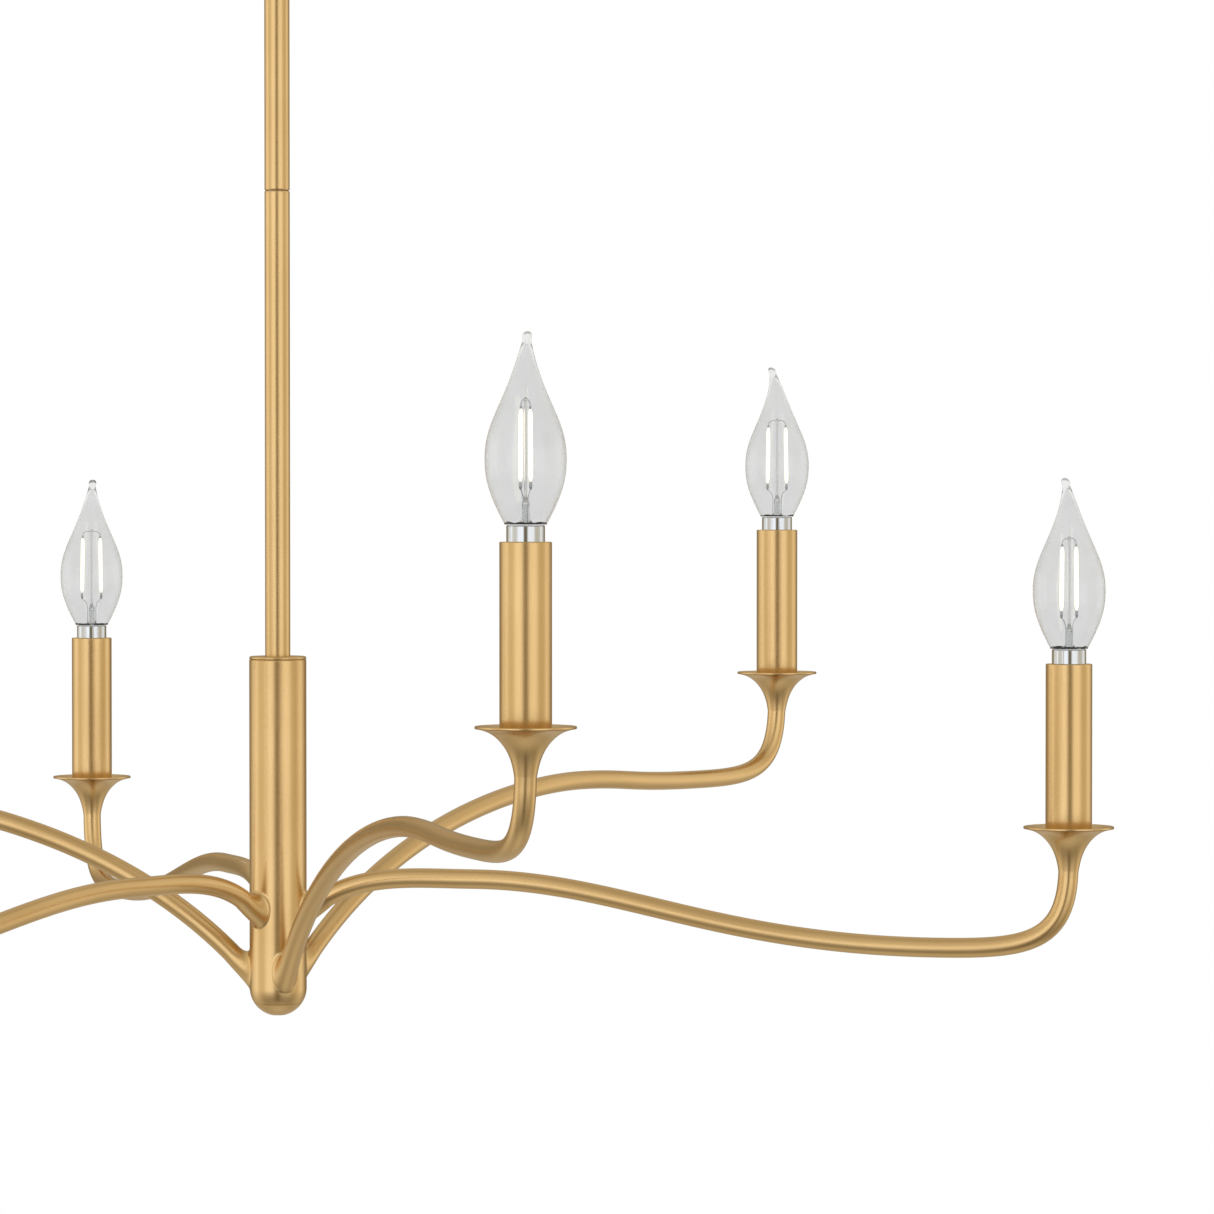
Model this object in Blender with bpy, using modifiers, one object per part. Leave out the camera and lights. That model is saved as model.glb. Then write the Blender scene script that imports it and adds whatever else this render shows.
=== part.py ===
"""A two-tier candle chandelier: six S-curved arms on a round hub, hung on two rods from a ceiling canopy.

Metres, +Z up. The origin is on the ceiling, on the stem's centre line, and the object hangs below it.
Arm 1 points along -Y. The others follow every 60 degrees, turning towards +X: odd arms leave the hub's foot
and rise to the upper candles, and even arms leave it higher up and end in the lower candles.
"""

import math

import bmesh
import bpy
import numpy as np
from mathutils import Euler, Vector

GAP = 0.0003  # left between pieces that touch

# Ceiling canopy and what is inside it
CANOPY_RADIUS = 0.0635
CANOPY_DEPTH = 0.024
CANOPY_CORNER = 0.009
CANOPY_WALL = 0.0012
BAR_LENGTH = 0.112
BAR_WIDTH = 0.024
BAR_THICK = 0.0024
BOX_SLOT_SPACING = 0.0889
BOX_SLOT_LENGTH = 0.011
BOX_SLOT_RADIUS = 0.0026
CANOPY_SCREW_SPACING = 0.066
SCREW_RADIUS = 0.002
KNOB_RADIUS = 0.0048
KNOB_LENGTH = 0.009
KNOB_GRIP = 0.0054  # length of screw in a knob
GROUND_SCREW_X = 0.018
GROUND_HEAD_RADIUS = 0.0045
GROUND_HEAD_HEIGHT = 0.003
NIPPLE_RADIUS = 0.0049
NIPPLE_BORE = 0.0034
NIPPLE_GRIP = 0.007  # how far the nipple reaches into the swivel
NUT_RADIUS = 0.0082
NUT_HEIGHT = 0.0045

# Swivel: a yoke that turns on the nipple, and a tongue that tilts on a cross pin
YOKE_RADIUS = 0.0105
YOKE_COLLAR = 0.010
KNUCKLE_RADIUS = 0.0078
KNUCKLE_WIDTH = 0.0150
KNUCKLE_CLEARANCE = 0.0012  # between a rounded ear and the shoulder that it turns past
TONGUE_THICK = 0.0064
PIN_RADIUS = 0.0022
PIN_HEAD_RADIUS = 0.0040
PIN_HEAD_HEIGHT = 0.0014
TONGUE_COLLAR_RADIUS = 0.0088
TONGUE_COLLAR = 0.0220
SPIGOT_LENGTH = 0.012
SIDE_HOLE_RADIUS = 0.0026  # where the wire goes into the stem, under the tongue
EMBED = 0.0012  # how far two solids that become one reach into each other

# Stem
ROD_RADIUS = 0.00625
ROD_WALL = 0.0013
ROD_LENGTH = 0.3048
ROD_IN_HUB = 0.0738
COUPLING_LENGTH = 0.026
COUPLING_BORE = 0.0032

# Hub
HUB_RADIUS = 0.0142
HUB_WALL = 0.0016
HUB_HEIGHT = 0.1787
HUB_FOOT_FLAT = 0.0035  # radius of the flat under its round end
HUB_CAP_THICK = 0.0015
HUB_CAP_EDGE = 0.0010
HUB_CAP_SPIGOT = 0.0045
FOOT_PLUG_HEIGHT = 0.0060
FOOT_SPIGOT_RADIUS = 0.0077
FOOT_SPIGOT_LENGTH = 0.0055
FOOT_FLOOR_THICK = 0.0067
ROD_SEAT_BELOW = 0.010
ROD_SEAT_ABOVE = 0.014
ROD_SEAT_BORE = 0.0040

# Arms
ARM_COUNT = 6
ARM_REACH = 0.394  # from the centre line to a candle
ARM_RADIUS = 0.00485
ARM_BORE = 0.0034
ARM_GRIP = 0.0035  # how far an arm reaches in past the hub's surface, measured outwards
ARM_CUTTER_REACH = 0.0077  # how far its cutters do
ROOT_FLARE = 0.0034
ROOT_FLARE_LENGTH = 0.0075
DIP_SETBACK = 0.064  # from the lowest point of the outer half to the candle
BEND_HEIGHT = 0.042
BEND_HANDLES = (0.045, 0.039)
# Heights are above the hub's lowest point. The handles are shares of the span that they shape.
LOW_ROOT = {
    "root_height": 0.0205,
    "root_slope": math.radians(47.6),
    "arch_reach": 0.229,
    "arch_height": 0.1073,
    "dip_height": 0.1037,
    "rim_height": 0.1606,
    "rise_handles": (0.45, 0.22),
    "fall_handles": (0.38, 0.61),
}
HIGH_ROOT = {
    "root_height": 0.0512,
    "root_slope": math.radians(41.5),
    "arch_reach": 0.100,
    "arch_height": 0.0690,
    "dip_height": 0.0389,
    "rim_height": 0.0987,
    "rise_handles": (0.37, 0.40),
    "fall_handles": (0.32, 0.48),
}

# Candle cup, at the arm's upturned end. Depths are below the rim.
CUP_RADIUS = 0.0219
CUP_EDGE = 0.0011
CUP_DEPTH = 0.021
CUP_DECAY = 0.0082  # depth over which the horn narrows to 1/e
HORN_RADIUS = 0.0182  # of the horn without its lip
LIP_DECAY = 0.0009  # depth over which the lip narrows to 1/e
SEAT_DEPTH = 0.0026
SEAT_MARGIN = 0.0008  # the flat seat's radius past the candle's
DISH_LIP = 0.0009

# Candle: sleeve, lamp socket and bulb. Heights are above the sleeve's top.
SLEEVE_RADIUS = 0.01125
SLEEVE_WALL = 0.0009
SLEEVE_ABOVE_RIM = 0.0786
SOCKET_RADIUS = 0.0088
SOCKET_LENGTH = 0.0270
SOCKET_BELOW = 0.0034
SOCKET_FLOOR = 0.0030
SOCKET_STEM_RADIUS = 0.0050
SCREW_SHELL_RADIUS = 0.0059
SCREW_SHELL_LENGTH = 0.0180
SHELL_CLEARANCE = 0.0004
SOCKET_FLOOR_BORE = 0.0024
CONTACT_RADIUS = 0.0023
CONTACT_LENGTH = 0.0022
CONTACT_TAPER = 0.0012  # height of the cone between the screw shell and the contact
COLLAR_RADIUS = 0.0083
COLLAR_TOP = 0.0071
COLLAR_BOTTOM = -0.0018
COLLAR_TAPER = 0.0008  # height of the cone between the collar and the screw shell
GLASS_WALL = 0.0009
GLASS_HEIGHT = 0.0824
GLASS_RADIUS = 0.0175
GLASS_BELLY = 0.0280  # height of its widest point above its foot
GLASS_FOOT_RADIUS = 0.0089
SHOULDER_HANDLES = ((0.0083, 0.0513), 0.0449)  # of the outline from the neck to the belly: a point, a height
FOOT_HANDLES = (0.0205, (0.0163, 0.0135))  # of the outline from the belly to the foot: a height, a point
TIP_NECK_RADIUS = 0.0019
TIP_NECK = 0.0042  # the tip's length above the neck
TIP_BEAD = 0.0020  # height of the bead's widest ring below the tip
TIP_LEAN = 0.0034  # how far the tip leans towards the stem
TIP_LEAN_POWER = 6
MOUNT_RADIUS = 0.0044
MOUNT_HEIGHT = 0.0150
MOUNT_OUTLINE = ((0.50, 0.8), (0.55, 0.3))  # shares of that radius and of that height
MOUNT_TIP_RADIUS = 0.0011
CENTRE_ROD_ABOVE = 0.002  # how far the mount's rod rises past the filaments
FILAMENT_RADIUS = 0.0011
FILAMENT_SPACING = 0.0104
BRIDGE_INSET = 0.001  # from a filament's end to the wire that holds it
FILAMENT_BOTTOM = 0.0190  # above the glass's foot
FILAMENT_TOP = 0.0490
WIRE_RADIUS = 0.0006

WIDE_ROUND = 30  # sides of the widest turned pieces, and of the others
CUP_ROUND = 24
ROUND = 20
SLEEVE_ROUND = 16
SMALL_ROUND = 12

FINISHES = {
    "satin_brass": ((0.55, 0.36, 0.14), 0.32, 1.0),
    "zinc_steel": ((0.62, 0.63, 0.65), 0.35, 1.0),
    "green_screw": ((0.05, 0.32, 0.12), 0.45, 1.0),
    "socket_plastic": ((0.03, 0.03, 0.03), 0.50, 0.0),
    "bulb_chrome": ((0.80, 0.80, 0.80), 0.08, 1.0),
    "clear_glass": ((0.95, 0.95, 0.95), 0.03, 0.0),
    "filament_glow": ((1.00, 0.80, 0.50), 0.40, 0.0),
}

# Heights of the places where the hanging pieces meet, worked down from the ceiling
YOKE_TOP = -CANOPY_DEPTH - GAP
KNUCKLE_DROP = KNUCKLE_RADIUS + KNUCKLE_CLEARANCE
PIN_HEIGHT = YOKE_TOP - YOKE_COLLAR - KNUCKLE_DROP
SHOULDER = PIN_HEIGHT - KNUCKLE_DROP
ROD_TOP = SHOULDER - TONGUE_COLLAR - GAP
ROD_JOINT = ROD_TOP - ROD_LENGTH
ROD_BOTTOM = ROD_JOINT - ROD_LENGTH
HUB_TOP = ROD_BOTTOM + ROD_IN_HUB
HUB_BOTTOM = HUB_TOP - HUB_HEIGHT
HUB_INNER = HUB_RADIUS - HUB_WALL
ROD_BORE = ROD_RADIUS - ROD_WALL
FOOT_CENTRE = math.sqrt(HUB_RADIUS**2 - HUB_FOOT_FLAT**2)
SLEEVE_INNER = SLEEVE_RADIUS - SLEEVE_WALL
SEAT_RADIUS = SLEEVE_RADIUS + SEAT_MARGIN


def clear_scene():
    for obj in list(bpy.data.objects):
        bpy.data.objects.remove(obj)


def collection(name):
    made = bpy.data.collections.new(name)
    bpy.context.scene.collection.children.link(made)
    return made


clear_scene()
PARTS = collection("candle_chandelier")
CUTTERS = collection("cutters")


def material(name, finish):
    colour, roughness, metallic = FINISHES[finish]
    made = bpy.data.materials.new(name)
    made.use_nodes = True
    shader = made.node_tree.nodes["Principled BSDF"]
    shader.inputs["Base Color"].default_value = (*colour, 1.0)
    shader.inputs["Roughness"].default_value = roughness
    shader.inputs["Metallic"].default_value = metallic
    if finish == "clear_glass":
        shader.inputs["Transmission Weight"].default_value = 1.0
    return made


def empty(name, height, parent=None):
    """An empty on the centre line at this height, for what turns or tilts with it."""
    made = bpy.data.objects.new(name, None)
    made.parent = parent
    made.location.z = height - (parent.location.z if parent else 0)
    made["height"] = height
    PARTS.objects.link(made)
    return made


def show(obj, finish, parent=None):
    """Makes obj a piece of the chandelier, hung on parent and in the place that it already has."""
    if parent:
        obj.parent = parent
        obj.location.z -= parent["height"]
    for holder in list(obj.users_collection):
        holder.objects.unlink(obj)
    PARTS.objects.link(obj)
    obj.hide_render = False
    obj.display_type = "TEXTURED"
    obj.data.materials.clear()
    obj.data.materials.append(material(obj.name, finish))
    obj.data.shade_smooth()
    obj.data.set_sharp_from_angle(angle=math.radians(35))
    return obj


def helper(name, mesh, place=(0, 0, 0), turn=(0, 0, 0)):
    """A hidden solid. It cuts or joins others, or show() makes it a piece."""
    obj = bpy.data.objects.new(name, mesh)
    obj.location = place
    obj.rotation_euler = Euler(turn)
    obj.hide_render = True
    obj.display_type = "WIRE"
    CUTTERS.objects.link(obj)
    return obj


def mesh_from(build):
    """The mesh that build makes in a new bmesh."""
    grid = bmesh.new()
    build(grid)
    mesh = bpy.data.meshes.new("mesh")
    grid.to_mesh(mesh)
    grid.free()
    return mesh


def cylinder(name, radius, low, high, place=(0, 0, 0), turn=(0, 0, 0), sides=ROUND):
    """A cylinder along its own Z, from low to high."""

    def build(grid):
        bmesh.ops.create_cone(
            grid, cap_ends=True, segments=sides, radius1=radius, radius2=radius, depth=high - low
        )
        bmesh.ops.translate(grid, verts=grid.verts, vec=(0, 0, (low + high) / 2))

    return helper(name, mesh_from(build), place, turn)


def block(name, size, centre):
    def build(grid):
        bmesh.ops.create_cube(grid, size=1.0)
        bmesh.ops.scale(grid, vec=size, verts=grid.verts)

    return helper(name, mesh_from(build), centre)


def turned(name, profile, place=(0, 0, 0), closed=False, sides=ROUND):
    """The profile, points of (radius, height), turned about Z. It runs down the outer side first."""
    points = [(radius, 0.0, height) for radius, height in profile]
    edges = [(i, i + 1) for i in range(len(points) - 1)]
    if closed:
        edges.append((len(points) - 1, 0))
    mesh = bpy.data.meshes.new(name)
    mesh.from_pydata(points, edges, [])
    obj = helper(name, mesh, place)
    screw = obj.modifiers.new("turn", "SCREW")
    screw.steps = sides
    screw.render_steps = sides
    screw.use_merge_vertices = True
    screw.merge_threshold = 0.00001
    return obj


def boolean(obj, other, operation):
    step = obj.modifiers.new(other.name, "BOOLEAN")
    step.operation = operation
    step.object = other
    step.solver = "EXACT"


def cut(obj, *others):
    for other in others:
        boolean(obj, other, "DIFFERENCE")


def join(obj, *others):
    for other in others:
        boolean(obj, other, "UNION")


def baked(obj):
    """obj's mesh with its modifiers applied and its loose caps welded."""
    bpy.context.view_layer.update()
    graph = bpy.context.evaluated_depsgraph_get()
    mesh = bpy.data.meshes.new_from_object(obj.evaluated_get(graph))
    grid = bmesh.new()
    grid.from_mesh(mesh)
    bmesh.ops.remove_doubles(grid, verts=grid.verts, dist=0.000001)
    grid.to_mesh(mesh)
    grid.free()
    return mesh


def sweep(name, points, radii, resolution):
    """A round solid along points, with its own radius at each."""
    data = bpy.data.curves.new(name, "CURVE")
    data.dimensions = "3D"
    data.bevel_depth = 1.0
    data.bevel_resolution = resolution
    data.use_fill_caps = True
    spline = data.splines.new("POLY")
    spline.points.add(len(points) - 1)
    for target, point, radius in zip(spline.points, points, radii):
        target.co = (*point, 1.0)
        target.radius = radius
    curve = bpy.data.objects.new(name, data)
    CUTTERS.objects.link(curve)
    mesh = baked(curve)
    bpy.data.objects.remove(curve)
    return helper(name, mesh)


def bezier(start, leave, arrive, end, count):
    """count points of the cubic curve with these end points and handles, without its first point."""
    t = np.linspace(0, 1, count + 1)[1:, None]
    start, leave, arrive, end = (np.array(p, float) for p in (start, leave, arrive, end))
    return (
        (1 - t) ** 3 * start
        + 3 * (1 - t) ** 2 * t * leave
        + 3 * (1 - t) * t**2 * arrive
        + t**3 * end
    )


def arc(centre, radius, start, end, count):
    """Points of (radius, height) along an arc between two angles from the horizontal, in degrees."""
    angles = np.radians(np.linspace(start, end, count))
    return [(centre[0] + radius * math.cos(a), centre[1] + radius * math.sin(a)) for a in angles]


def arm_route(tier):
    """The arm's centre line as points of (reach, height above the hub's lowest point)."""
    slope = np.array([math.cos(tier["root_slope"]), math.sin(tier["root_slope"])])
    root = np.array([HUB_RADIUS, tier["root_height"]])
    arch = np.array([tier["arch_reach"], tier["arch_height"]])
    dip = np.array([ARM_REACH - DIP_SETBACK, tier["dip_height"]])
    bend = np.array([ARM_REACH, tier["dip_height"] + BEND_HEIGHT])
    rise, fall = arch[0] - root[0], dip[0] - arch[0]
    along, up = np.array([1.0, 0.0]), np.array([0.0, 1.0])
    leave, arrive = tier["rise_handles"]
    parts = [root[None], bezier(root, root + slope * leave * rise, arch - along * arrive * rise, arch, 10)]
    leave, arrive = tier["fall_handles"]
    parts.append(bezier(arch, arch + along * leave * fall, dip - along * arrive * fall, dip, 7))
    leave, arrive = BEND_HANDLES
    parts.append(bezier(dip, dip + along * leave, bend - up * arrive, bend, 8))
    return np.vstack(parts), slope


def horn(depth):
    """Radius of the candle cup's outside at this depth below its rim: an exponential horn with a thin lip."""
    end = math.exp(-CUP_DEPTH / CUP_DECAY)
    share = (np.exp(-depth / CUP_DECAY) - end) / (1 - end)
    lip = np.exp(-depth / LIP_DECAY)
    return ARM_RADIUS + (HORN_RADIUS - ARM_RADIUS) * share + (CUP_RADIUS - HORN_RADIUS) * lip


def in_plane(points):
    """Points of (reach, height) as points in the XZ plane. Both are measured from the hub's lowest point."""
    return [(float(reach), 0.0, float(height)) for reach, height in points]


def arm_mesh(tier, label):
    """One arm with its cup as a mesh, and the cutter for its passage through the hub.

    Both are in the XZ plane, measured from the hub's lowest point.
    """
    route, slope = arm_route(tier)
    rim = tier["rim_height"]
    top = np.array([ARM_REACH, rim - SEAT_DEPTH - CUP_EDGE])
    inner = route[0] - slope * ARM_GRIP / slope[0]
    deep = route[0] - slope * ARM_CUTTER_REACH / slope[0]
    steps = np.cumsum([0.0, *np.linalg.norm(np.diff(route, axis=0), axis=1)])
    flare = ROOT_FLARE * np.exp(-((steps / ROOT_FLARE_LENGTH) ** 1.5))
    radii = [ARM_RADIUS + ROOT_FLARE, *(ARM_RADIUS + flare), ARM_RADIUS]
    arm = sweep(f"arm_{label}", in_plane([deep, *route, top]), radii, 2)
    depths = CUP_DEPTH * np.linspace(0, 1, 8) ** 1.8
    cup_profile = [(0, rim), (CUP_RADIUS, rim), *zip(horn(depths), rim - CUP_EDGE - depths)]
    cup_profile.append((0, rim - CUP_EDGE - CUP_DEPTH))
    cup = turned(f"cup_{label}", cup_profile, place=(ARM_REACH, 0, 0), sides=CUP_ROUND)
    near = route[:4]
    stub = sweep(f"root_{label}", in_plane([inner, *near]), [ARM_RADIUS] * 5, 2)
    start = in_plane([deep, *near])
    passage = sweep(f"passage_{label}", start, [ARM_RADIUS + GAP] * 5, 4)
    bore_route = in_plane([deep, *route[::2], [ARM_REACH, rim + CUP_EDGE]])
    bore = sweep(f"bore_{label}", bore_route, [ARM_BORE] * len(bore_route), 1)
    hub = cylinder(f"hub_{label}", HUB_RADIUS + GAP, -HUB_HEIGHT, 2 * HUB_HEIGHT, sides=WIDE_ROUND)
    dish_radius = CUP_RADIUS - DISH_LIP
    dish_top = dish_radius + (dish_radius - SEAT_RADIUS) / SEAT_DEPTH * CUP_EDGE
    dish_profile = [
        (0, rim + CUP_EDGE),
        (dish_top, rim + CUP_EDGE),
        (SEAT_RADIUS, rim - SEAT_DEPTH),
        (0, rim - SEAT_DEPTH),
    ]
    dish = turned(f"dish_{label}", dish_profile, place=(ARM_REACH, 0, 0), sides=CUP_ROUND)
    cut(arm, hub)
    join(arm, stub, cup)
    cut(arm, dish, bore)
    return baked(arm), passage


def arm_angle(number):
    """The arm's turn about Z from the XZ plane."""
    return math.radians(360 / ARM_COUNT * (number - 1) - 90)


def glass_profile():
    """The bulb's outline from its tip down: a bead, a slender neck, and an ogee out to a round belly."""
    neck = (TIP_NECK_RADIUS, GLASS_HEIGHT - TIP_NECK)
    belly = (GLASS_RADIUS, GLASS_BELLY)
    leave, arrive = SHOULDER_HANDLES
    upper = bezier(neck, leave, (GLASS_RADIUS, arrive), belly, 8)
    leave, arrive = FOOT_HANDLES
    lower = bezier(belly, (GLASS_RADIUS, leave), arrive, (GLASS_FOOT_RADIUS, 0.0), 5)
    return [(TIP_NECK_RADIUS, GLASS_HEIGHT - TIP_BEAD), neck, *map(tuple, upper), *map(tuple, lower)]


def glass_mesh():
    """The bulb's glass, open at its foot, with its tip leaning towards -X."""
    outer = glass_profile()
    inner = [(radius - GLASS_WALL, height) for radius, height in outer[3:]]
    inner[0] = (0.0, inner[0][1])
    profile = [(0.0, GLASS_HEIGHT), *outer, *reversed(inner)]
    mesh = baked(turned("glass_blank", profile, sides=SMALL_ROUND))
    for vertex in mesh.vertices:
        share = max(0.0, vertex.co.z - GLASS_BELLY) / (GLASS_HEIGHT - GLASS_BELLY)
        vertex.co.x -= TIP_LEAN * share**TIP_LEAN_POWER
    return mesh


def ring(outer, inner, low, high):
    """A closed profile for a plain tube."""
    return [(outer, high), (outer, low), (inner, low), (inner, high)]


def make_ceiling_fitting():
    depth = CANOPY_DEPTH
    corner = (CANOPY_RADIUS - CANOPY_CORNER, CANOPY_CORNER - depth)
    hole = NIPPLE_RADIUS + GAP
    outside = arc(corner, CANOPY_CORNER, 0, -90, 4)
    inside = arc(corner, CANOPY_CORNER - CANOPY_WALL, -90, 0, 4)
    shell = [(CANOPY_RADIUS, 0), *outside, (hole, -depth), (hole, CANOPY_WALL - depth), *inside]
    shell.append((CANOPY_RADIUS - CANOPY_WALL, 0))
    canopy = turned("canopy", shell, closed=True, sides=WIDE_ROUND)
    show(canopy, "satin_brass")
    bar = block("ceiling_bar", (BAR_LENGTH, BAR_WIDTH, BAR_THICK), (0, 0, -BAR_THICK / 2))
    through = 2 * BAR_THICK
    clear = SCREW_RADIUS + GAP
    cut(bar, cylinder("bar_centre_hole", hole, -through, through))
    cut(bar, cylinder("ground_hole", clear, -through, through, (GROUND_SCREW_X, 0, 0), sides=SMALL_ROUND))
    for side, name in ((-1, "left"), (1, "right")):
        x = side * CANOPY_SCREW_SPACING / 2
        place = (x, 0, 0)
        cut(bar, cylinder(f"bar_screw_hole_{name}", clear, -through, through, place, sides=SMALL_ROUND))
        cut(canopy, cylinder(f"canopy_hole_{name}", clear, -2 * depth, -depth / 2, place, sides=SMALL_ROUND))
        make_canopy_screw(name, x)
        slot_x = side * BOX_SLOT_SPACING / 2
        end = BOX_SLOT_LENGTH / 2 - BOX_SLOT_RADIUS
        for place, which in ((slot_x - end, "start"), (slot_x + end, "end")):
            slot_name = f"box_slot_{which}_{name}"
            centre = (place, 0, 0)
            cut(bar, cylinder(slot_name, BOX_SLOT_RADIUS, -through, through, centre, sides=SMALL_ROUND))
        slot_size = (2 * end, 2 * BOX_SLOT_RADIUS, BOX_SLOT_RADIUS + through)
        cut(bar, block(f"box_slot_middle_{name}", slot_size, (slot_x, 0, 0)))
    show(bar, "zinc_steel")
    under = -BAR_THICK - GAP
    low = under - GROUND_HEAD_HEIGHT
    place = (GROUND_SCREW_X, 0, 0)
    ground = cylinder("ground_screw", SCREW_RADIUS, low + EMBED, -GAP, place, sides=SMALL_ROUND)
    join(ground, cylinder("ground_head", GROUND_HEAD_RADIUS, low, under, place, sides=6))
    show(ground, "green_screw")
    nipple_end = YOKE_TOP - NIPPLE_GRIP
    pipe = ring(NIPPLE_RADIUS, NIPPLE_BORE, nipple_end, -GAP)
    show(turned("ceiling_nipple", pipe, closed=True), "zinc_steel")
    nut = cylinder("nipple_locknut", NUT_RADIUS, under - NUT_HEIGHT, under, sides=6)
    cut(nut, cylinder("locknut_bore", hole, under - 2 * NUT_HEIGHT, under + NUT_HEIGHT))
    show(nut, "zinc_steel")


def make_canopy_screw(name, x):
    """A screw down from the bar through the canopy, and the round knob under the canopy that holds it up."""
    floor = -CANOPY_DEPTH - GAP
    end = floor - KNOB_GRIP
    profile = [(0, -GAP), (SCREW_RADIUS, -GAP), (SCREW_RADIUS, end), (0, end)]
    show(turned(f"canopy_screw_{name}", profile, (x, 0, 0), sides=SMALL_ROUND), "zinc_steel")
    hole = SCREW_RADIUS + GAP
    dome = arc((0, floor - KNOB_LENGTH + KNOB_RADIUS), KNOB_RADIUS, 0, -90, 5)[:-1]
    knob = [(0, end - GAP), (hole, end - GAP), (hole, floor)]
    knob += [(KNOB_RADIUS, floor), *dome, (0, floor - KNOB_LENGTH)]
    show(turned(f"canopy_knob_{name}", knob, (x, 0, 0), sides=SMALL_ROUND), "satin_brass")


def make_swivel(turning, tilting):
    across = (math.radians(90), 0, 0)
    pin = (0, 0, PIN_HEIGHT)
    half = KNUCKLE_WIDTH / 2
    bridge = YOKE_TOP - YOKE_COLLAR
    yoke = cylinder("swivel_yoke", YOKE_RADIUS, bridge, YOKE_TOP)
    ear_height = bridge + EMBED - PIN_HEIGHT
    ear_size = (2 * KNUCKLE_RADIUS, KNUCKLE_WIDTH, ear_height)
    ears = block("yoke_ears", ear_size, (0, 0, PIN_HEIGHT + ear_height / 2))
    round_ears = cylinder("yoke_ear_ends", KNUCKLE_RADIUS, -half, half, pin, across)
    join(yoke, ears, round_ears)
    room = TONGUE_THICK + 2 * GAP
    slot_height = 2 * KNUCKLE_DROP
    cut(yoke, block("yoke_slot", (4 * KNUCKLE_RADIUS, room, slot_height), pin))
    cut(yoke, cylinder("yoke_pin_hole", PIN_RADIUS + GAP, -2 * half, 2 * half, pin, across, SMALL_ROUND))
    nipple_hole = NIPPLE_GRIP + GAP
    cut(yoke, cylinder("yoke_bore", NIPPLE_RADIUS + GAP, YOKE_TOP - nipple_hole, YOKE_TOP + nipple_hole))
    cut(yoke, cylinder("yoke_wire_hole", NIPPLE_BORE, bridge - nipple_hole, YOKE_TOP, sides=SMALL_ROUND))
    show(yoke, "satin_brass", turning)
    cross = cylinder("swivel_pin", PIN_RADIUS, -half - 2 * GAP, half + 2 * GAP, pin, across, SMALL_ROUND)
    for side in (-1, 1):
        near = side * (half + GAP)
        far = near + side * PIN_HEAD_HEIGHT
        name = "pin_head_front" if side > 0 else "pin_head_back"
        join(cross, cylinder(name, PIN_HEAD_RADIUS, min(near, far), max(near, far), pin, across, SMALL_ROUND))
    show(cross, "satin_brass", turning)
    tongue = cylinder("swivel_tongue", TONGUE_COLLAR_RADIUS, SHOULDER - TONGUE_COLLAR, SHOULDER)
    blade_height = PIN_HEIGHT - SHOULDER + EMBED
    blade_size = (2 * KNUCKLE_RADIUS, TONGUE_THICK, blade_height)
    blade = block("tongue_blade", blade_size, (0, 0, PIN_HEIGHT - blade_height / 2))
    round_blade = cylinder("tongue_end", KNUCKLE_RADIUS, -TONGUE_THICK / 2, TONGUE_THICK / 2, pin, across)
    spigot_end = ROD_TOP - SPIGOT_LENGTH
    spigot = cylinder("tongue_spigot", ROD_BORE - GAP, spigot_end, SHOULDER - TONGUE_COLLAR / 2)
    join(tongue, blade, round_blade, spigot)
    cut(tongue, cylinder("tongue_pin_hole", PIN_RADIUS + GAP, -half, half, pin, across, SMALL_ROUND))
    bore_top = SHOULDER - TONGUE_COLLAR / 3
    cut(tongue, cylinder("tongue_wire_hole", COUPLING_BORE, spigot_end - EMBED, bore_top, sides=SMALL_ROUND))
    side_hole = (0, 0, bore_top - COUPLING_BORE)
    cut(tongue, cylinder("tongue_side_hole", SIDE_HOLE_RADIUS, 0, 2 * half, side_hole, across, SMALL_ROUND))
    show(tongue, "satin_brass", tilting)


def make_stem(tilting):
    half = GAP / 2
    upper = ring(ROD_RADIUS, ROD_BORE, ROD_JOINT + half, ROD_TOP)
    lower = ring(ROD_RADIUS, ROD_BORE, ROD_BOTTOM, ROD_JOINT - half)
    show(turned("upper_rod", upper, closed=True), "satin_brass", tilting)
    show(turned("lower_rod", lower, closed=True), "satin_brass", tilting)
    reach = COUPLING_LENGTH / 2
    coupling = ring(ROD_BORE - GAP, COUPLING_BORE, ROD_JOINT - reach, ROD_JOINT + reach)
    show(turned("rod_coupling", coupling, closed=True, sides=SMALL_ROUND), "zinc_steel", tilting)


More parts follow.
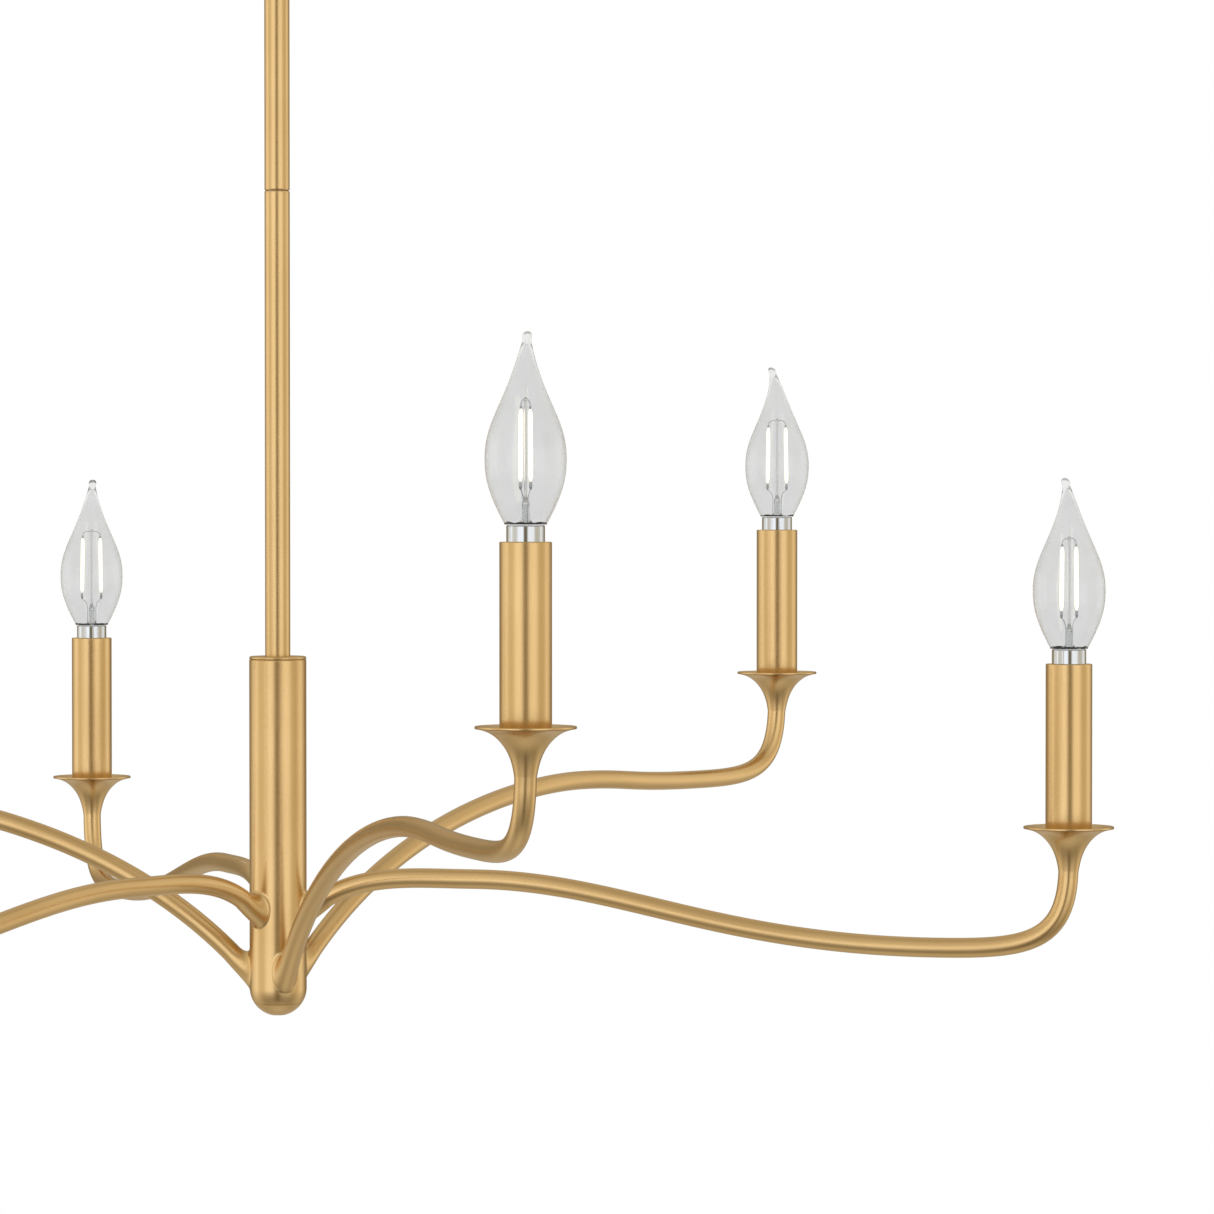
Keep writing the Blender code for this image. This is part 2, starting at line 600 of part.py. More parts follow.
def make_hub(tilting, passages):
    top = HUB_TOP
    hole = ROD_RADIUS + GAP
    lip = HUB_INNER - GAP
    under = top - HUB_CAP_THICK
    edge = arc((HUB_RADIUS - HUB_CAP_EDGE, top - HUB_CAP_EDGE), HUB_CAP_EDGE, 90, 0, 3)
    cap = [*edge, (HUB_RADIUS, under), (lip, under), (lip, under - HUB_CAP_SPIGOT)]
    cap += [(hole, under - HUB_CAP_SPIGOT), (hole, top)]
    show(turned("hub_top_cap", cap, closed=True), "satin_brass", tilting)
    centre = HUB_BOTTOM + FOOT_CENTRE
    split = math.degrees(math.asin((FOOT_CENTRE - FOOT_PLUG_HEIGHT - GAP) / HUB_RADIUS))
    foot_low = HUB_BOTTOM + FOOT_PLUG_HEIGHT + GAP
    floor_top = foot_low + FOOT_FLOOR_THICK
    plug_hole = FOOT_SPIGOT_RADIUS + GAP
    column_top = under - GAP
    column = [(HUB_RADIUS, column_top), *arc((0, centre), HUB_RADIUS, 0, -split, 5)]
    column += [(plug_hole, foot_low), (plug_hole, floor_top), (HUB_INNER, floor_top), (HUB_INNER, column_top)]
    body = turned("hub_column", column, closed=True, sides=WIDE_ROUND)
    cut(body, *passages)
    show(body, "satin_brass", tilting)
    lower_split = math.degrees(math.asin((FOOT_CENTRE - FOOT_PLUG_HEIGHT) / HUB_RADIUS))
    flat = math.degrees(math.acos(HUB_FOOT_FLAT / HUB_RADIUS))
    plug_top = HUB_BOTTOM + FOOT_PLUG_HEIGHT
    spigot_top = plug_top + FOOT_SPIGOT_LENGTH
    plug = [(0, spigot_top), (FOOT_SPIGOT_RADIUS, spigot_top), (FOOT_SPIGOT_RADIUS, plug_top)]
    plug += [*arc((0, centre), HUB_RADIUS, -lower_split, -flat, 5), (0, HUB_BOTTOM)]
    show(turned("hub_foot_plug", plug), "satin_brass", tilting)
    low, high = ROD_BOTTOM - ROD_SEAT_BELOW, ROD_BOTTOM + ROD_SEAT_ABOVE
    shelf = ROD_BOTTOM - GAP
    seat = [(lip, high), (lip, low), (ROD_SEAT_BORE, low)]
    seat += [(ROD_SEAT_BORE, shelf), (hole, shelf), (hole, high)]
    show(turned("rod_seat", seat, closed=True), "zinc_steel", tilting)


def socket_profile(seat):
    """A lamp socket, open at the top, on its threaded stem. Heights are above the sleeve's top."""
    top = -SOCKET_BELOW
    low = top - SOCKET_LENGTH
    bore = SCREW_SHELL_RADIUS + SHELL_CLEARANCE
    floor = low + SOCKET_FLOOR
    return [
        (bore, top),
        (SOCKET_RADIUS, top),
        (SOCKET_RADIUS, low),
        (SOCKET_STEM_RADIUS, low),
        (SOCKET_STEM_RADIUS, seat + GAP),
        (ARM_BORE, seat + GAP),
        (ARM_BORE, low),
        (SOCKET_FLOOR_BORE, low),
        (SOCKET_FLOOR_BORE, floor),
        (bore, floor),
    ]


def bulb_base_profile():
    """The bulb's collar, screw shell and contact, from the top down. Heights are above the sleeve's top."""
    shell_top = COLLAR_BOTTOM - COLLAR_TAPER
    shell_low = shell_top - SCREW_SHELL_LENGTH
    return [
        (0, COLLAR_TOP),
        (COLLAR_RADIUS, COLLAR_TOP),
        (COLLAR_RADIUS, COLLAR_BOTTOM),
        (SCREW_SHELL_RADIUS, shell_top),
        (SCREW_SHELL_RADIUS, shell_low),
        (CONTACT_RADIUS, shell_low - CONTACT_TAPER),
        (CONTACT_RADIUS, shell_low - CONTACT_LENGTH),
        (0, shell_low - CONTACT_LENGTH),
    ]


def filament_mesh():
    """The glass mount, two filaments and the wires that hold them. Heights are above the glass's foot."""
    rod_top = FILAMENT_TOP + CENTRE_ROD_ABOVE
    mount = [(0, rod_top), (MOUNT_TIP_RADIUS, rod_top), (MOUNT_TIP_RADIUS, MOUNT_HEIGHT)]
    mount += [(radius * MOUNT_RADIUS, height * MOUNT_HEIGHT) for radius, height in MOUNT_OUTLINE]
    mount += [(MOUNT_RADIUS, GAP), (0, GAP)]
    body = turned("mount_blank", mount, sides=6)
    half = FILAMENT_SPACING / 2
    along = (0, math.radians(90), 0)
    for side, name in ((-1, "left"), (1, "right")):
        place = (side * half, 0, 0)
        join(body, cylinder(f"filament_{name}", FILAMENT_RADIUS, FILAMENT_BOTTOM, FILAMENT_TOP, place, sides=6))
    for height, name in ((FILAMENT_BOTTOM + BRIDGE_INSET, "low"), (FILAMENT_TOP - BRIDGE_INSET, "high")):
        join(body, cylinder(f"bridge_{name}", WIRE_RADIUS, -half, half, (0, 0, height), along, 6))
    return baked(body)


def place_on_arm(name, mesh, number, height, finish, parent):
    """mesh at the end of an arm, with its +X pointing outwards."""
    turn = arm_angle(number)
    place = Vector((ARM_REACH * math.cos(turn), ARM_REACH * math.sin(turn), height))
    return show(helper(name, mesh.copy(), place, (0, 0, turn)), finish, parent)


def make_arms_and_candles(tilting):
    """All six arms and what stands on them. It returns the cutters for their passages through the hub."""
    odd = (LOW_ROOT, *arm_mesh(LOW_ROOT, "low_root"))
    even = (HIGH_ROOT, *arm_mesh(HIGH_ROOT, "high_root"))
    seat = -SLEEVE_ABOVE_RIM - SEAT_DEPTH
    tube = ring(SLEEVE_RADIUS, SLEEVE_INNER, seat + GAP, 0)
    sleeve = baked(turned("sleeve_blank", tube, closed=True, sides=SLEEVE_ROUND))
    socket = baked(turned("socket_blank", socket_profile(seat), closed=True, sides=SMALL_ROUND))
    base = baked(turned("base_blank", bulb_base_profile(), sides=SMALL_ROUND))
    glass = glass_mesh()
    filament = filament_mesh()
    glass_foot = COLLAR_TOP + GAP
    passages = []
    for number in range(1, ARM_COUNT + 1):
        tier, arm, passage = odd if number % 2 else even
        turn = arm_angle(number)
        show(helper(f"arm_{number}", arm.copy(), (0, 0, HUB_BOTTOM), (0, 0, turn)), "satin_brass", tilting)
        passages.append(helper(f"passage_{number}", passage.data, (0, 0, HUB_BOTTOM), (0, 0, turn)))
        sleeve_top = HUB_BOTTOM + tier["rim_height"] + SLEEVE_ABOVE_RIM
        place_on_arm(f"candle_sleeve_{number}", sleeve, number, sleeve_top, "satin_brass", tilting)
        place_on_arm(f"lamp_socket_{number}", socket, number, sleeve_top, "socket_plastic", tilting)
        place_on_arm(f"bulb_base_{number}", base, number, sleeve_top, "bulb_chrome", tilting)
        place_on_arm(f"bulb_glass_{number}", glass, number, sleeve_top + glass_foot, "clear_glass", tilting)
        place_on_arm(f"filament_{number}", filament, number, sleeve_top + glass_foot, "filament_glow", tilting)
    return passages


def main():
    turning = empty("swivel_turn_axis", YOKE_TOP)
    tilting = empty("stem_tilt_axis", PIN_HEIGHT, turning)
    make_ceiling_fitting()
    make_swivel(turning, tilting)
    make_stem(tilting)
    passages = make_arms_and_candles(tilting)
    make_hub(tilting, passages)


main()
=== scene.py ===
"""The looks of the candle chandelier: its pieces' fine surfaces and finishes, the studio and the camera.

Metres, +Z up, origin on the ceiling on the stem's centre line. Each new piece is a grid of rings, worked out
with numpy and skinned with quads, and rides on the body whose CAD node it stands for.
"""

import math

import bpy
import numpy as np
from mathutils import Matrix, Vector


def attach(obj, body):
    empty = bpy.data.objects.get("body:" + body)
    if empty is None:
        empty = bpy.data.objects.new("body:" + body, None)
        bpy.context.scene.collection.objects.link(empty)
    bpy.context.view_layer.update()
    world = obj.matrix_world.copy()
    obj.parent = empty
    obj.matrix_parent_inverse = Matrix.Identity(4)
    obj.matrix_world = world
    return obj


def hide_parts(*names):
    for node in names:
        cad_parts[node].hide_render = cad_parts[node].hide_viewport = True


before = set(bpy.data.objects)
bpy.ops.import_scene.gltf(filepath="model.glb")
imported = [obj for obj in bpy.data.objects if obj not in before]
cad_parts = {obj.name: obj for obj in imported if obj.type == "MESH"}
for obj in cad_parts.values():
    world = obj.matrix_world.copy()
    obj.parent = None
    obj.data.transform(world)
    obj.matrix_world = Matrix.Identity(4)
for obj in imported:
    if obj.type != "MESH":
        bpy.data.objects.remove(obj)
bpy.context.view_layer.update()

TAU = 2 * math.pi
GAP = 0.0003  # left between pieces that touch

# Ceiling canopy and what is inside it
CANOPY_RADIUS = 0.0635
CANOPY_DEPTH = 0.024
CANOPY_CORNER = 0.009
CANOPY_WALL = 0.0012
CANOPY_LIP = 0.0006  # radius of the rolled edge against the ceiling
BAR_THICK = 0.0024
CANOPY_SCREW_SPACING = 0.066
SCREW_RADIUS = 0.002
SCREW_PITCH = 0.0008
SCREW_THREAD = 0.00035  # depth of its thread
KNOB_RADIUS = 0.0048
KNOB_LENGTH = 0.009
KNOB_GRIP = 0.6  # share of the knob's length that its screw fills
KNOB_EDGE = 0.0003
KNURLS = 30
KNURL_DEPTH = 0.035  # share of the knob's radius
GROUND_SCREW_X = 0.018
GROUND_HEAD_RADIUS = 0.0045
GROUND_HEAD_HEIGHT = 0.003
NIPPLE_RADIUS = 0.0049
NIPPLE_BORE = 0.0034
NIPPLE_PITCH = 0.0011
NIPPLE_THREAD = 0.0005
NIPPLE_GRIP = 0.007
NUT_RADIUS = 0.0082
NUT_HEIGHT = 0.0045

# Swivel
YOKE_RADIUS = 0.0105
YOKE_COLLAR = 0.010
SWIVEL_EDGE = 0.0006  # radius of its smallest rounded edge
KNUCKLE_RADIUS = 0.0078
KNUCKLE_WIDTH = 0.0150
KNUCKLE_CLEARANCE = 0.0012
TONGUE_THICK = 0.0064
PIN_RADIUS = 0.0022
PIN_HEAD_RADIUS = 0.0040
PIN_HEAD_HEIGHT = 0.0014
PIN_HEAD_RIM = 0.0004
TONGUE_COLLAR_RADIUS = 0.0088
TONGUE_COLLAR = 0.0220
TONGUE_GROOVE = (0.30, 0.34, 0.38)  # the decorative groove's edges and bottom, as shares down the collar
SPIGOT_LENGTH = 0.012

# Stem and hub
ROD_RADIUS = 0.00625
ROD_WALL = 0.0013
ROD_LENGTH = 0.3048
ROD_IN_HUB = 0.0738
HUB_RADIUS = 0.0142
HUB_WALL = 0.0016
HUB_HEIGHT = 0.1787
HUB_FOOT_FLAT = 0.0035
HUB_CAP_THICK = 0.0015
HUB_CAP_EDGE = 0.0010
FOOT_PLUG_HEIGHT = 0.0060
SHARP_EDGE = 0.00025  # how far a cut edge is broken

# Arms
ARM_COUNT = 6
ARM_REACH = 0.394
ARM_RADIUS = 0.00485
ROOT_FILLET = 0.0046  # how far the brazed root spreads on the hub past the arm's radius
UNDER_FILLET = 0.25  # share of it under the arm
ROOT_RUN = 0.0125  # how far along the arm the root's fillet reaches
ROOT_SINK = 0.0008
ROOT_HANDLES = (0.55, 0.50)  # of the fillet's curve, on the hub and on the arm
DIP_SETBACK = 0.064
BEND_HEIGHT = 0.042
BEND_HANDLES = (0.045, 0.039)
# Heights are above the hub's lowest point. The handles are shares of the span that they shape.
LOW_ROOT = {
    "root_height": 0.0205,
    "root_slope": math.radians(47.6),
    "arch_reach": 0.229,
    "arch_height": 0.1073,
    "dip_height": 0.1037,
    "rim_height": 0.1606,
    "rise_handles": (0.45, 0.22),
    "fall_handles": (0.38, 0.61),
}
HIGH_ROOT = {
    "root_height": 0.0512,
    "root_slope": math.radians(41.5),
    "arch_reach": 0.100,
    "arch_height": 0.0690,
    "dip_height": 0.0389,
    "rim_height": 0.0987,
    "rise_handles": (0.37, 0.40),
    "fall_handles": (0.32, 0.48),
}

# Candle cup. Depths are below the rim.
CUP_RADIUS = 0.0219
CUP_EDGE = 0.0011
CUP_DEPTH = 0.021
CUP_DECAY = 0.0082
HORN_RADIUS = 0.0182  # of the horn without its lip
LIP_DECAY = 0.0009  # depth over which the lip narrows to 1/e
SEAT_DEPTH = 0.0026
SEAT_MARGIN = 0.0008
DISH_LIP = 0.0009
DISH_HANDLES = ((0.0050, 0.0012), 0.0030)  # past the seat and below the rim, and past the seat

# Candle: sleeve, lamp socket and bulb. Heights are above the sleeve's top.
SLEEVE_RADIUS = 0.01125
SLEEVE_WALL = 0.0009
SLEEVE_ABOVE_RIM = 0.0786
SOCKET_RADIUS = 0.0088
SOCKET_LENGTH = 0.0270
SOCKET_BELOW = 0.0034
SOCKET_FLOOR = 0.0030
SOCKET_STEM_RADIUS = 0.0050
SCREW_SHELL_RADIUS = 0.0059
SCREW_SHELL_LENGTH = 0.0180
SHELL_PITCH = 0.00254
SHELL_THREAD = 0.00045
SHELL_CLEARANCE = 0.0004
SHELL_DROP = 0.0010  # of its top below the socket's
CONTACT_RADIUS = 0.0023
CONTACT_LENGTH = 0.0022
COLLAR_RADIUS = 0.0083
COLLAR_TOP = 0.0071
COLLAR_BOTTOM = -0.0018
GLASS_WALL = 0.0005
GLASS_HEIGHT = 0.0824
GLASS_RADIUS = 0.0175
GLASS_BELLY = 0.0280
GLASS_FOOT_RADIUS = 0.0089
TIP_NECK_RADIUS = 0.0019
TIP_BEAD_RADIUS = 0.0021
TIP_NECK = 0.0042
SHOULDER_HANDLES = ((0.0083, 0.0513), 0.0449)  # of the outline from the neck to the belly
FOOT_HANDLES = (0.0205, (0.0163, 0.0135))  # of the outline from the belly to the foot
TIP_WALLS = 3.0  # how much thicker the wall is at the neck, where the bore ends in a point
TIP_CLOSING = 0.0010
TIP_LEAN = 0.0034
TIP_LEAN_POWER = 6
MOUNT_RADIUS = 0.0040
MOUNT_NECK = 0.0016
MOUNT_HEIGHT = 0.0100
MOUNT_ROD = 0.0007
MOUNT_WALL = 0.0004
MOUNT_TOP = 0.0042  # above the filaments
MOUNT_BEAD = 0.0009
SHADOW_RING_RADIUS = 0.00915  # of the dark ring round the glass's foot, painted shadow where the glass meets the collar
SHADOW_RING_BORE = 0.0084
SHADOW_RING_HEIGHT = 0.0007
SHADOW_RING_WAVES = ((3, 1, 0.0003), (7, -2, 0.0002))  # of its top edge: waves round it, shift per bulb, height
FILAMENT_RADIUS = 0.0010
FILAMENT_SPACING = 0.0104
FILAMENT_BOTTOM = 0.0178
FILAMENT_TOP = 0.0498
FILAMENT_SPLAY = (1.04, 0.94)  # of the spacing at the filaments' foot and head
WIRE_RADIUS = 0.00022
WIRE_GRIP = 0.0010  # how far a wire runs into a filament
WIRE_DROP = 0.0030  # from a filament's foot to its wire's bend
HOOK_RISE = 0.0018  # of the upper wire's corner, middle and end above a filament's head
HOOK_MIDDLE = 0.0034
HOOK_END = 0.0030
FOOT_KNOT = (0.0008, 0.0020)  # radius and half the height of the ferrule on a filament's foot
FOOT_KNOT_DROP = 0.0012
HEAD_KNOT = (0.0006, 0.0009)

# A bulb stops turning where its thread runs tight, so each faces its own way (degrees, arm by arm).
TIP_TURNS = (-33, -43, -49, 0, 20, -15)
FILAMENT_TURNS = (-42, 53, -65, -101, 15, 40)

# Heights of the places where the hanging pieces meet, worked down from the ceiling
YOKE_TOP = -CANOPY_DEPTH - GAP
KNUCKLE_DROP = KNUCKLE_RADIUS + KNUCKLE_CLEARANCE
PIN_HEIGHT = YOKE_TOP - YOKE_COLLAR - KNUCKLE_DROP
SHOULDER = PIN_HEIGHT - KNUCKLE_DROP
ROD_TOP = SHOULDER - TONGUE_COLLAR - GAP
ROD_JOINT = ROD_TOP - ROD_LENGTH
ROD_BOTTOM = ROD_JOINT - ROD_LENGTH
HUB_TOP = ROD_BOTTOM + ROD_IN_HUB
HUB_BOTTOM = HUB_TOP - HUB_HEIGHT
HUB_INNER = HUB_RADIUS - HUB_WALL
ROD_BORE = ROD_RADIUS - ROD_WALL
FOOT_CENTRE = math.sqrt(HUB_RADIUS**2 - HUB_FOOT_FLAT**2)
SLEEVE_INNER = SLEEVE_RADIUS - SLEEVE_WALL
SEAT_RADIUS = SLEEVE_RADIUS + SEAT_MARGIN

POLE = 1e-9  # a ring no wider than this is one point
THREAD_ROWS = 8  # rows in one turn of a thread
ROUND = 96  # points in a ring
ARM_ROUND = 64
SMALL_ROUND = 48

# Camera: level with the arms' cups, a little to the left of arm 1
CAMERA_AZIMUTH = math.radians(15.529)
CAMERA_DISTANCE = 2.6125
CAMERA_HEIGHT = 0.2614  # above the hub's lowest point
CAMERA_YAW = math.radians(3.593)
CAMERA_PITCH = math.radians(1.281)
CAMERA_LENS = 155.56
CAMERA_SENSOR = 36.0
CAMERA_CLIP = (0.05, 50.0)
LOOK_AZIMUTH = CAMERA_AZIMUTH + CAMERA_YAW

FLOOR_HEIGHT = -2.2  # far enough down to stay out of the main view
FLOOR_RADIUS = 8.0
FLOOR_TONE = (0.74, 0.80, 0.90)


# ---------------------------------------------------------------- surfaces


def skin(rings, closed=False):
    """Corners, quads and UVs of a skin over rings, an array (rows, points, 3).

    Rows advance along T and a ring runs along U, where T x U points outwards. The skin is closed either by
    joining the last row to the first, or by a fan from each end row to its middle. An end row whose points
    all meet is that middle.
    """
    tops = [rings[0].mean(axis=0), rings[-1].mean(axis=0)]
    if not closed:
        meets = [np.ptp(rings[end], axis=0).max() < POLE for end in (0, -1)]
        rings = rings[int(meets[0]) : len(rings) - int(meets[1])]
    rows, points = rings.shape[:2]
    corners = rings.reshape(-1, 3)
    row = np.arange(rows if closed else rows - 1)[:, None]
    column = np.arange(points)[None, :]
    after, beside = (row + 1) % rows, (column + 1) % points
    quads = np.stack(
        [row * points + column, after * points + column, after * points + beside, row * points + beside], -1
    ).reshape(-1, 4)
    run = np.linalg.norm(np.diff(rings, axis=0, append=rings[:1]), axis=2).mean(axis=1)
    along = np.concatenate([[0.0], np.cumsum(run)])
    girth = np.linalg.norm(rings - np.roll(rings, 1, axis=1), axis=2).sum(axis=1).max()
    sides = np.stack([column, column, column + 1, column + 1], -1) / points * girth
    levels = along[np.stack([row, row + 1, row + 1, row], -1)]
    u, v = (np.broadcast_to(values, (len(row), points, 4)) for values in (sides, levels))
    uvs = np.stack([u, v], -1).reshape(-1, 2)
    faces = [quads]
    if not closed:
        first, last = len(corners), len(corners) + 1
        corners = np.vstack([corners, *tops])
        step = np.arange(points)
        beyond = (step + 1) % points
        base = (rows - 1) * points
        faces.append(np.stack([np.full(points, first), step, beyond], -1))
        faces.append(np.stack([np.full(points, last), base + beyond, base + step], -1))
        side = np.stack([step, step, step + 1], -1) / points * girth
        for level in (along[0], along[rows - 1]):
            uvs = np.vstack([uvs, np.stack([side, np.full(side.shape, level)], -1).reshape(-1, 2)])
    return corners, faces, uvs


def piece(name, skins, finish, body, *nodes, sharp=50):
    """One object from one or more closed skins, which stands for these CAD nodes and rides on body."""
    corners = np.vstack([s[0] for s in skins])
    starts = np.cumsum([0] + [len(s[0]) for s in skins])
    loops, sizes = [], []
    for start, (_, faces, _) in zip(starts, skins):
        for group in faces:
            loops.append((group + start).ravel())
            sizes.append(np.full(len(group), group.shape[1]))
    loops, sizes = np.concatenate(loops), np.concatenate(sizes)
    mesh = bpy.data.meshes.new(name)
    mesh.vertices.add(len(corners))
    mesh.vertices.foreach_set("co", corners.astype(np.float32).ravel())
    mesh.loops.add(len(loops))
    mesh.loops.foreach_set("vertex_index", loops.astype(np.int32))
    mesh.polygons.add(len(sizes))
    mesh.polygons.foreach_set("loop_start", (np.cumsum(sizes) - sizes).astype(np.int32))
    mesh.update(calc_edges=True)
    layer = mesh.uv_layers.new(name="surface")
    layer.data.foreach_set("uv", np.vstack([s[2] for s in skins]).astype(np.float32).ravel())
    mesh.validate()
    mesh.shade_smooth()
    mesh.set_sharp_from_angle(angle=math.radians(sharp))
    obj = bpy.data.objects.new(name, mesh)
    bpy.context.scene.collection.objects.link(obj)
    mesh.materials.append(FINISHES[finish])
    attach(obj, body)
    if nodes:
        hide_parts(*nodes)
    return obj


def circle(points=ROUND):
    """Angles of a ring's points, from 0 to a full turn."""
    return np.arange(points) / points * TAU


def turned(profile, place=(0.0, 0.0, 0.0), closed=False, points=ROUND, swell=None):
    """The profile, rows of (radius, height) down its outer side, turned about Z.

    swell(angle, height) multiplies the radius, for a knurl, a hexagon or a thread.
    """
    radius, height = np.array(profile, float).T[:, :, None]
    angle = circle(points)[None, :]
    if swell:
        radius = radius * swell(angle, height)
    rings = np.stack(
        [radius * np.cos(angle), radius * np.sin(angle), height + 0 * angle], -1
    )
    return skin(rings + np.array(place), closed)


def spun(skinned, axis):
    """A skin turned from +Z onto another axis: its corners' x, y and z become the axes named."""
    corners, faces, uvs = skinned
    return corners[:, axis], faces, uvs


def arc(centre, radius, start, end, count):
    """Rows of (radius, height) on an arc between two angles from the horizontal, in degrees."""
    angle = np.radians(np.linspace(start, end, count))
    return np.stack([centre[0] + radius * np.cos(angle), centre[1] + radius * np.sin(angle)], -1)


def bezier(start, leave, arrive, end, count):
    """count points of the cubic curve with these end points and handles, without its first point."""
    t = np.linspace(0, 1, count + 1)[1:, None]
    start, leave, arrive, end = (np.array(p, float) for p in (start, leave, arrive, end))
    return (1 - t) ** 3 * start + 3 * (1 - t) ** 2 * t * leave + 3 * (1 - t) * t**2 * arrive + t**3 * end


def tube(outer, inner, low, high, edge=SHARP_EDGE):
    """A closed profile of a plain tube, down its outside, with its four edges broken.

    A second row close to each outer edge keeps that edge's shading from running along the tube.
    """
    return [
        (outer - edge, high),
        (outer, high - edge),
        (outer, high - 4 * edge),
        (outer, low + 4 * edge),
        (outer, low + edge),
        (outer - edge, low),
        (inner + edge, low),
        (inner, low + edge),
        (inner, high - edge),
        (inner + edge, high),
    ]


def hexagon(angle, _):
    """A hexagon's radius as a share of its corner's: its flat's distance over the cosine from the flat."""
    sixth = TAU / 6
    return math.cos(sixth / 2) / np.cos((angle + sixth / 2) % sixth - sixth / 2)


def threaded(radius, pitch, depth, low, high, round_thread=False):
    """Rows down a screw thread, and the swell that cuts it.

    The radius falls by a wave. Its phase grows by a turn in one pitch of height, and falls by a turn round Z.
    """
    heights = np.arange(high, low, -pitch / THREAD_ROWS)
    profile = [(radius, h) for h in heights] + [(radius, low)]

    def cut(angle, height):
        """The wave as a share of the radius, fading out over the first and the last pitch."""
        phase = (height / pitch - angle / TAU) % 1.0
        wave = (1 - np.cos(TAU * phase)) / 2 if round_thread else np.abs(2 * phase - 1)
        fade = np.clip((high - height) / pitch, 0, 1) * np.clip((height - low) / pitch, 0, 1)
        return 1 - depth / radius * wave * fade

    return profile, cut


def along_path(path, radius, side, points=SMALL_ROUND):
    """Rings along path, an array (rows, 3), each with its own radius, in the planes square to the path.

    side is a direction square to every tangent.
    """
    tangent = np.gradient(path, axis=0)
    tangent /= np.linalg.norm(tangent, axis=1, keepdims=True)
    across = np.cross(tangent, side)
    across /= np.linalg.norm(across, axis=1, keepdims=True)
    up = np.cross(across, tangent)
    angle = circle(points)[None, :, None]
    radius = np.broadcast_to(radius, len(path))[:, None, None]
    return path[:, None] + radius * (np.cos(angle) * across[:, None] + np.sin(angle) * up[:, None])


def plate(outline, low, high, edge=SHARP_EDGE):
    """A flat plate: an outline of points (x, z), extruded along Y from low to high, with its edges broken."""
    outline = np.array(outline, float)
    middle = outline.mean(axis=0)
    inward = middle - outline
    inset = outline + edge * inward / np.linalg.norm(inward, axis=1, keepdims=True)
    rows = [(inset, low), (outline, low + edge), (outline, high - edge), (inset, high)]
    rings = [np.stack([o[:, 0], np.full(len(o), y), o[:, 1]], -1) for o, y in rows]
    return skin(np.array(rings))


def turn_about_z(points, angle):
    """points turned about Z by angle."""
    c, s = math.cos(angle), math.sin(angle)
    return points @ np.array([[c, s, 0], [-s, c, 0], [0, 0, 1]])


def moved(skinned, place):
    """A skin shifted by place."""
    corners, faces, uvs = skinned
    return corners + np.array(place), faces, uvs


# ---------------------------------------------------------------- finishes


def nodes_of(name):
    """A new material, its node tree and its shader."""
    made = bpy.data.materials.new(name)
    made.use_nodes = True
    tree = made.node_tree
    return made, tree, tree.nodes["Principled BSDF"]


def add(tree, kind, **values):
    """A node with its properties, and its inputs given as in_NAME or in_INDEX, set."""
    node = tree.nodes.new(kind)
    for key, value in values.items():
        if key.startswith("in_"):
            socket = key[3:].replace("_", " ")
            node.inputs[int(socket) if socket.isdigit() else socket].default_value = value
        else:
            setattr(node, key, value)
    return node


def streaks(tree, across, along, detail=3.0):
    """Noise drawn out along the surface's own V direction, as a brush leaves it."""
    place = add(tree, "ShaderNodeUVMap", uv_map="surface")
    stretch = add(tree, "ShaderNodeMapping", in_Scale=(across, along, 1.0))
    noise = add(tree, "ShaderNodeTexNoise", in_Scale=1.0, in_Detail=detail, in_Roughness=0.6)
    tree.links.new(place.outputs["UV"], stretch.inputs["Vector"])
    tree.links.new(stretch.outputs["Vector"], noise.inputs["Vector"])
    return noise.outputs["Fac"]


def clouds(tree, scale, detail=2.0):
    """Soft noise in the object's own space."""
    place = add(tree, "ShaderNodeTexCoord")
    noise = add(tree, "ShaderNodeTexNoise", in_Scale=scale, in_Detail=detail, in_Roughness=0.5)
    tree.links.new(place.outputs["Object"], noise.inputs["Vector"])
    return noise.outputs["Fac"]


def spread(tree, value, low, high):
    """value, mostly 0.3 to 0.7, mapped to low to high."""
    node = add(tree, "ShaderNodeMapRange", in_From_Min=0.3, in_From_Max=0.7, in_To_Min=low, in_To_Max=high)
    tree.links.new(value, node.inputs["Value"])
    return node.outputs["Result"]


def blend_colours(tree, value, first, second):
    """A colour between first and second, by value."""
    ramp = add(tree, "ShaderNodeValToRGB")
    ramp.color_ramp.elements[0].position = 0.3
    ramp.color_ramp.elements[1].position = 0.7
    ramp.color_ramp.elements[0].color = (*first, 1.0)
    ramp.color_ramp.elements[1].color = (*second, 1.0)
    tree.links.new(value, ramp.inputs["Fac"])
    return ramp.outputs["Color"]


def bump(tree, shader, value, distance, strength=1.0):
    """The shader's surface raised by value, up to distance."""
    node = add(tree, "ShaderNodeBump", in_Distance=distance, in_Strength=strength)
    tree.links.new(value, node.inputs["Height"])
    tree.links.new(node.outputs["Normal"], shader.inputs["Normal"])


def satin_brass():
    """Brushed, lacquered brass: fine streaks along each piece, and a faint unevenness of tone."""
    made, tree, shader = nodes_of("satin_brass")
    tone = blend_colours(tree, clouds(tree, 22.0), (0.655, 0.452, 0.214), (0.700, 0.490, 0.240))
    tree.links.new(tone, shader.inputs["Base Color"])
    tree.links.new(spread(tree, streaks(tree, 5200.0, 60.0), 0.235, 0.315), shader.inputs["Roughness"])
    bump(tree, shader, streaks(tree, 3600.0, 40.0), 0.00001, 0.35)
    shader.inputs["Metallic"].default_value = 1.0
    return made


def zinc_steel():
    """Bright zinc plate with a faint mottle."""
    made, tree, shader = nodes_of("zinc_steel")
    tone = blend_colours(tree, clouds(tree, 260.0, 4.0), (0.50, 0.52, 0.55), (0.66, 0.67, 0.68))
    tree.links.new(tone, shader.inputs["Base Color"])
    tree.links.new(spread(tree, clouds(tree, 900.0), 0.28, 0.42), shader.inputs["Roughness"])
    shader.inputs["Metallic"].default_value = 1.0
    return made


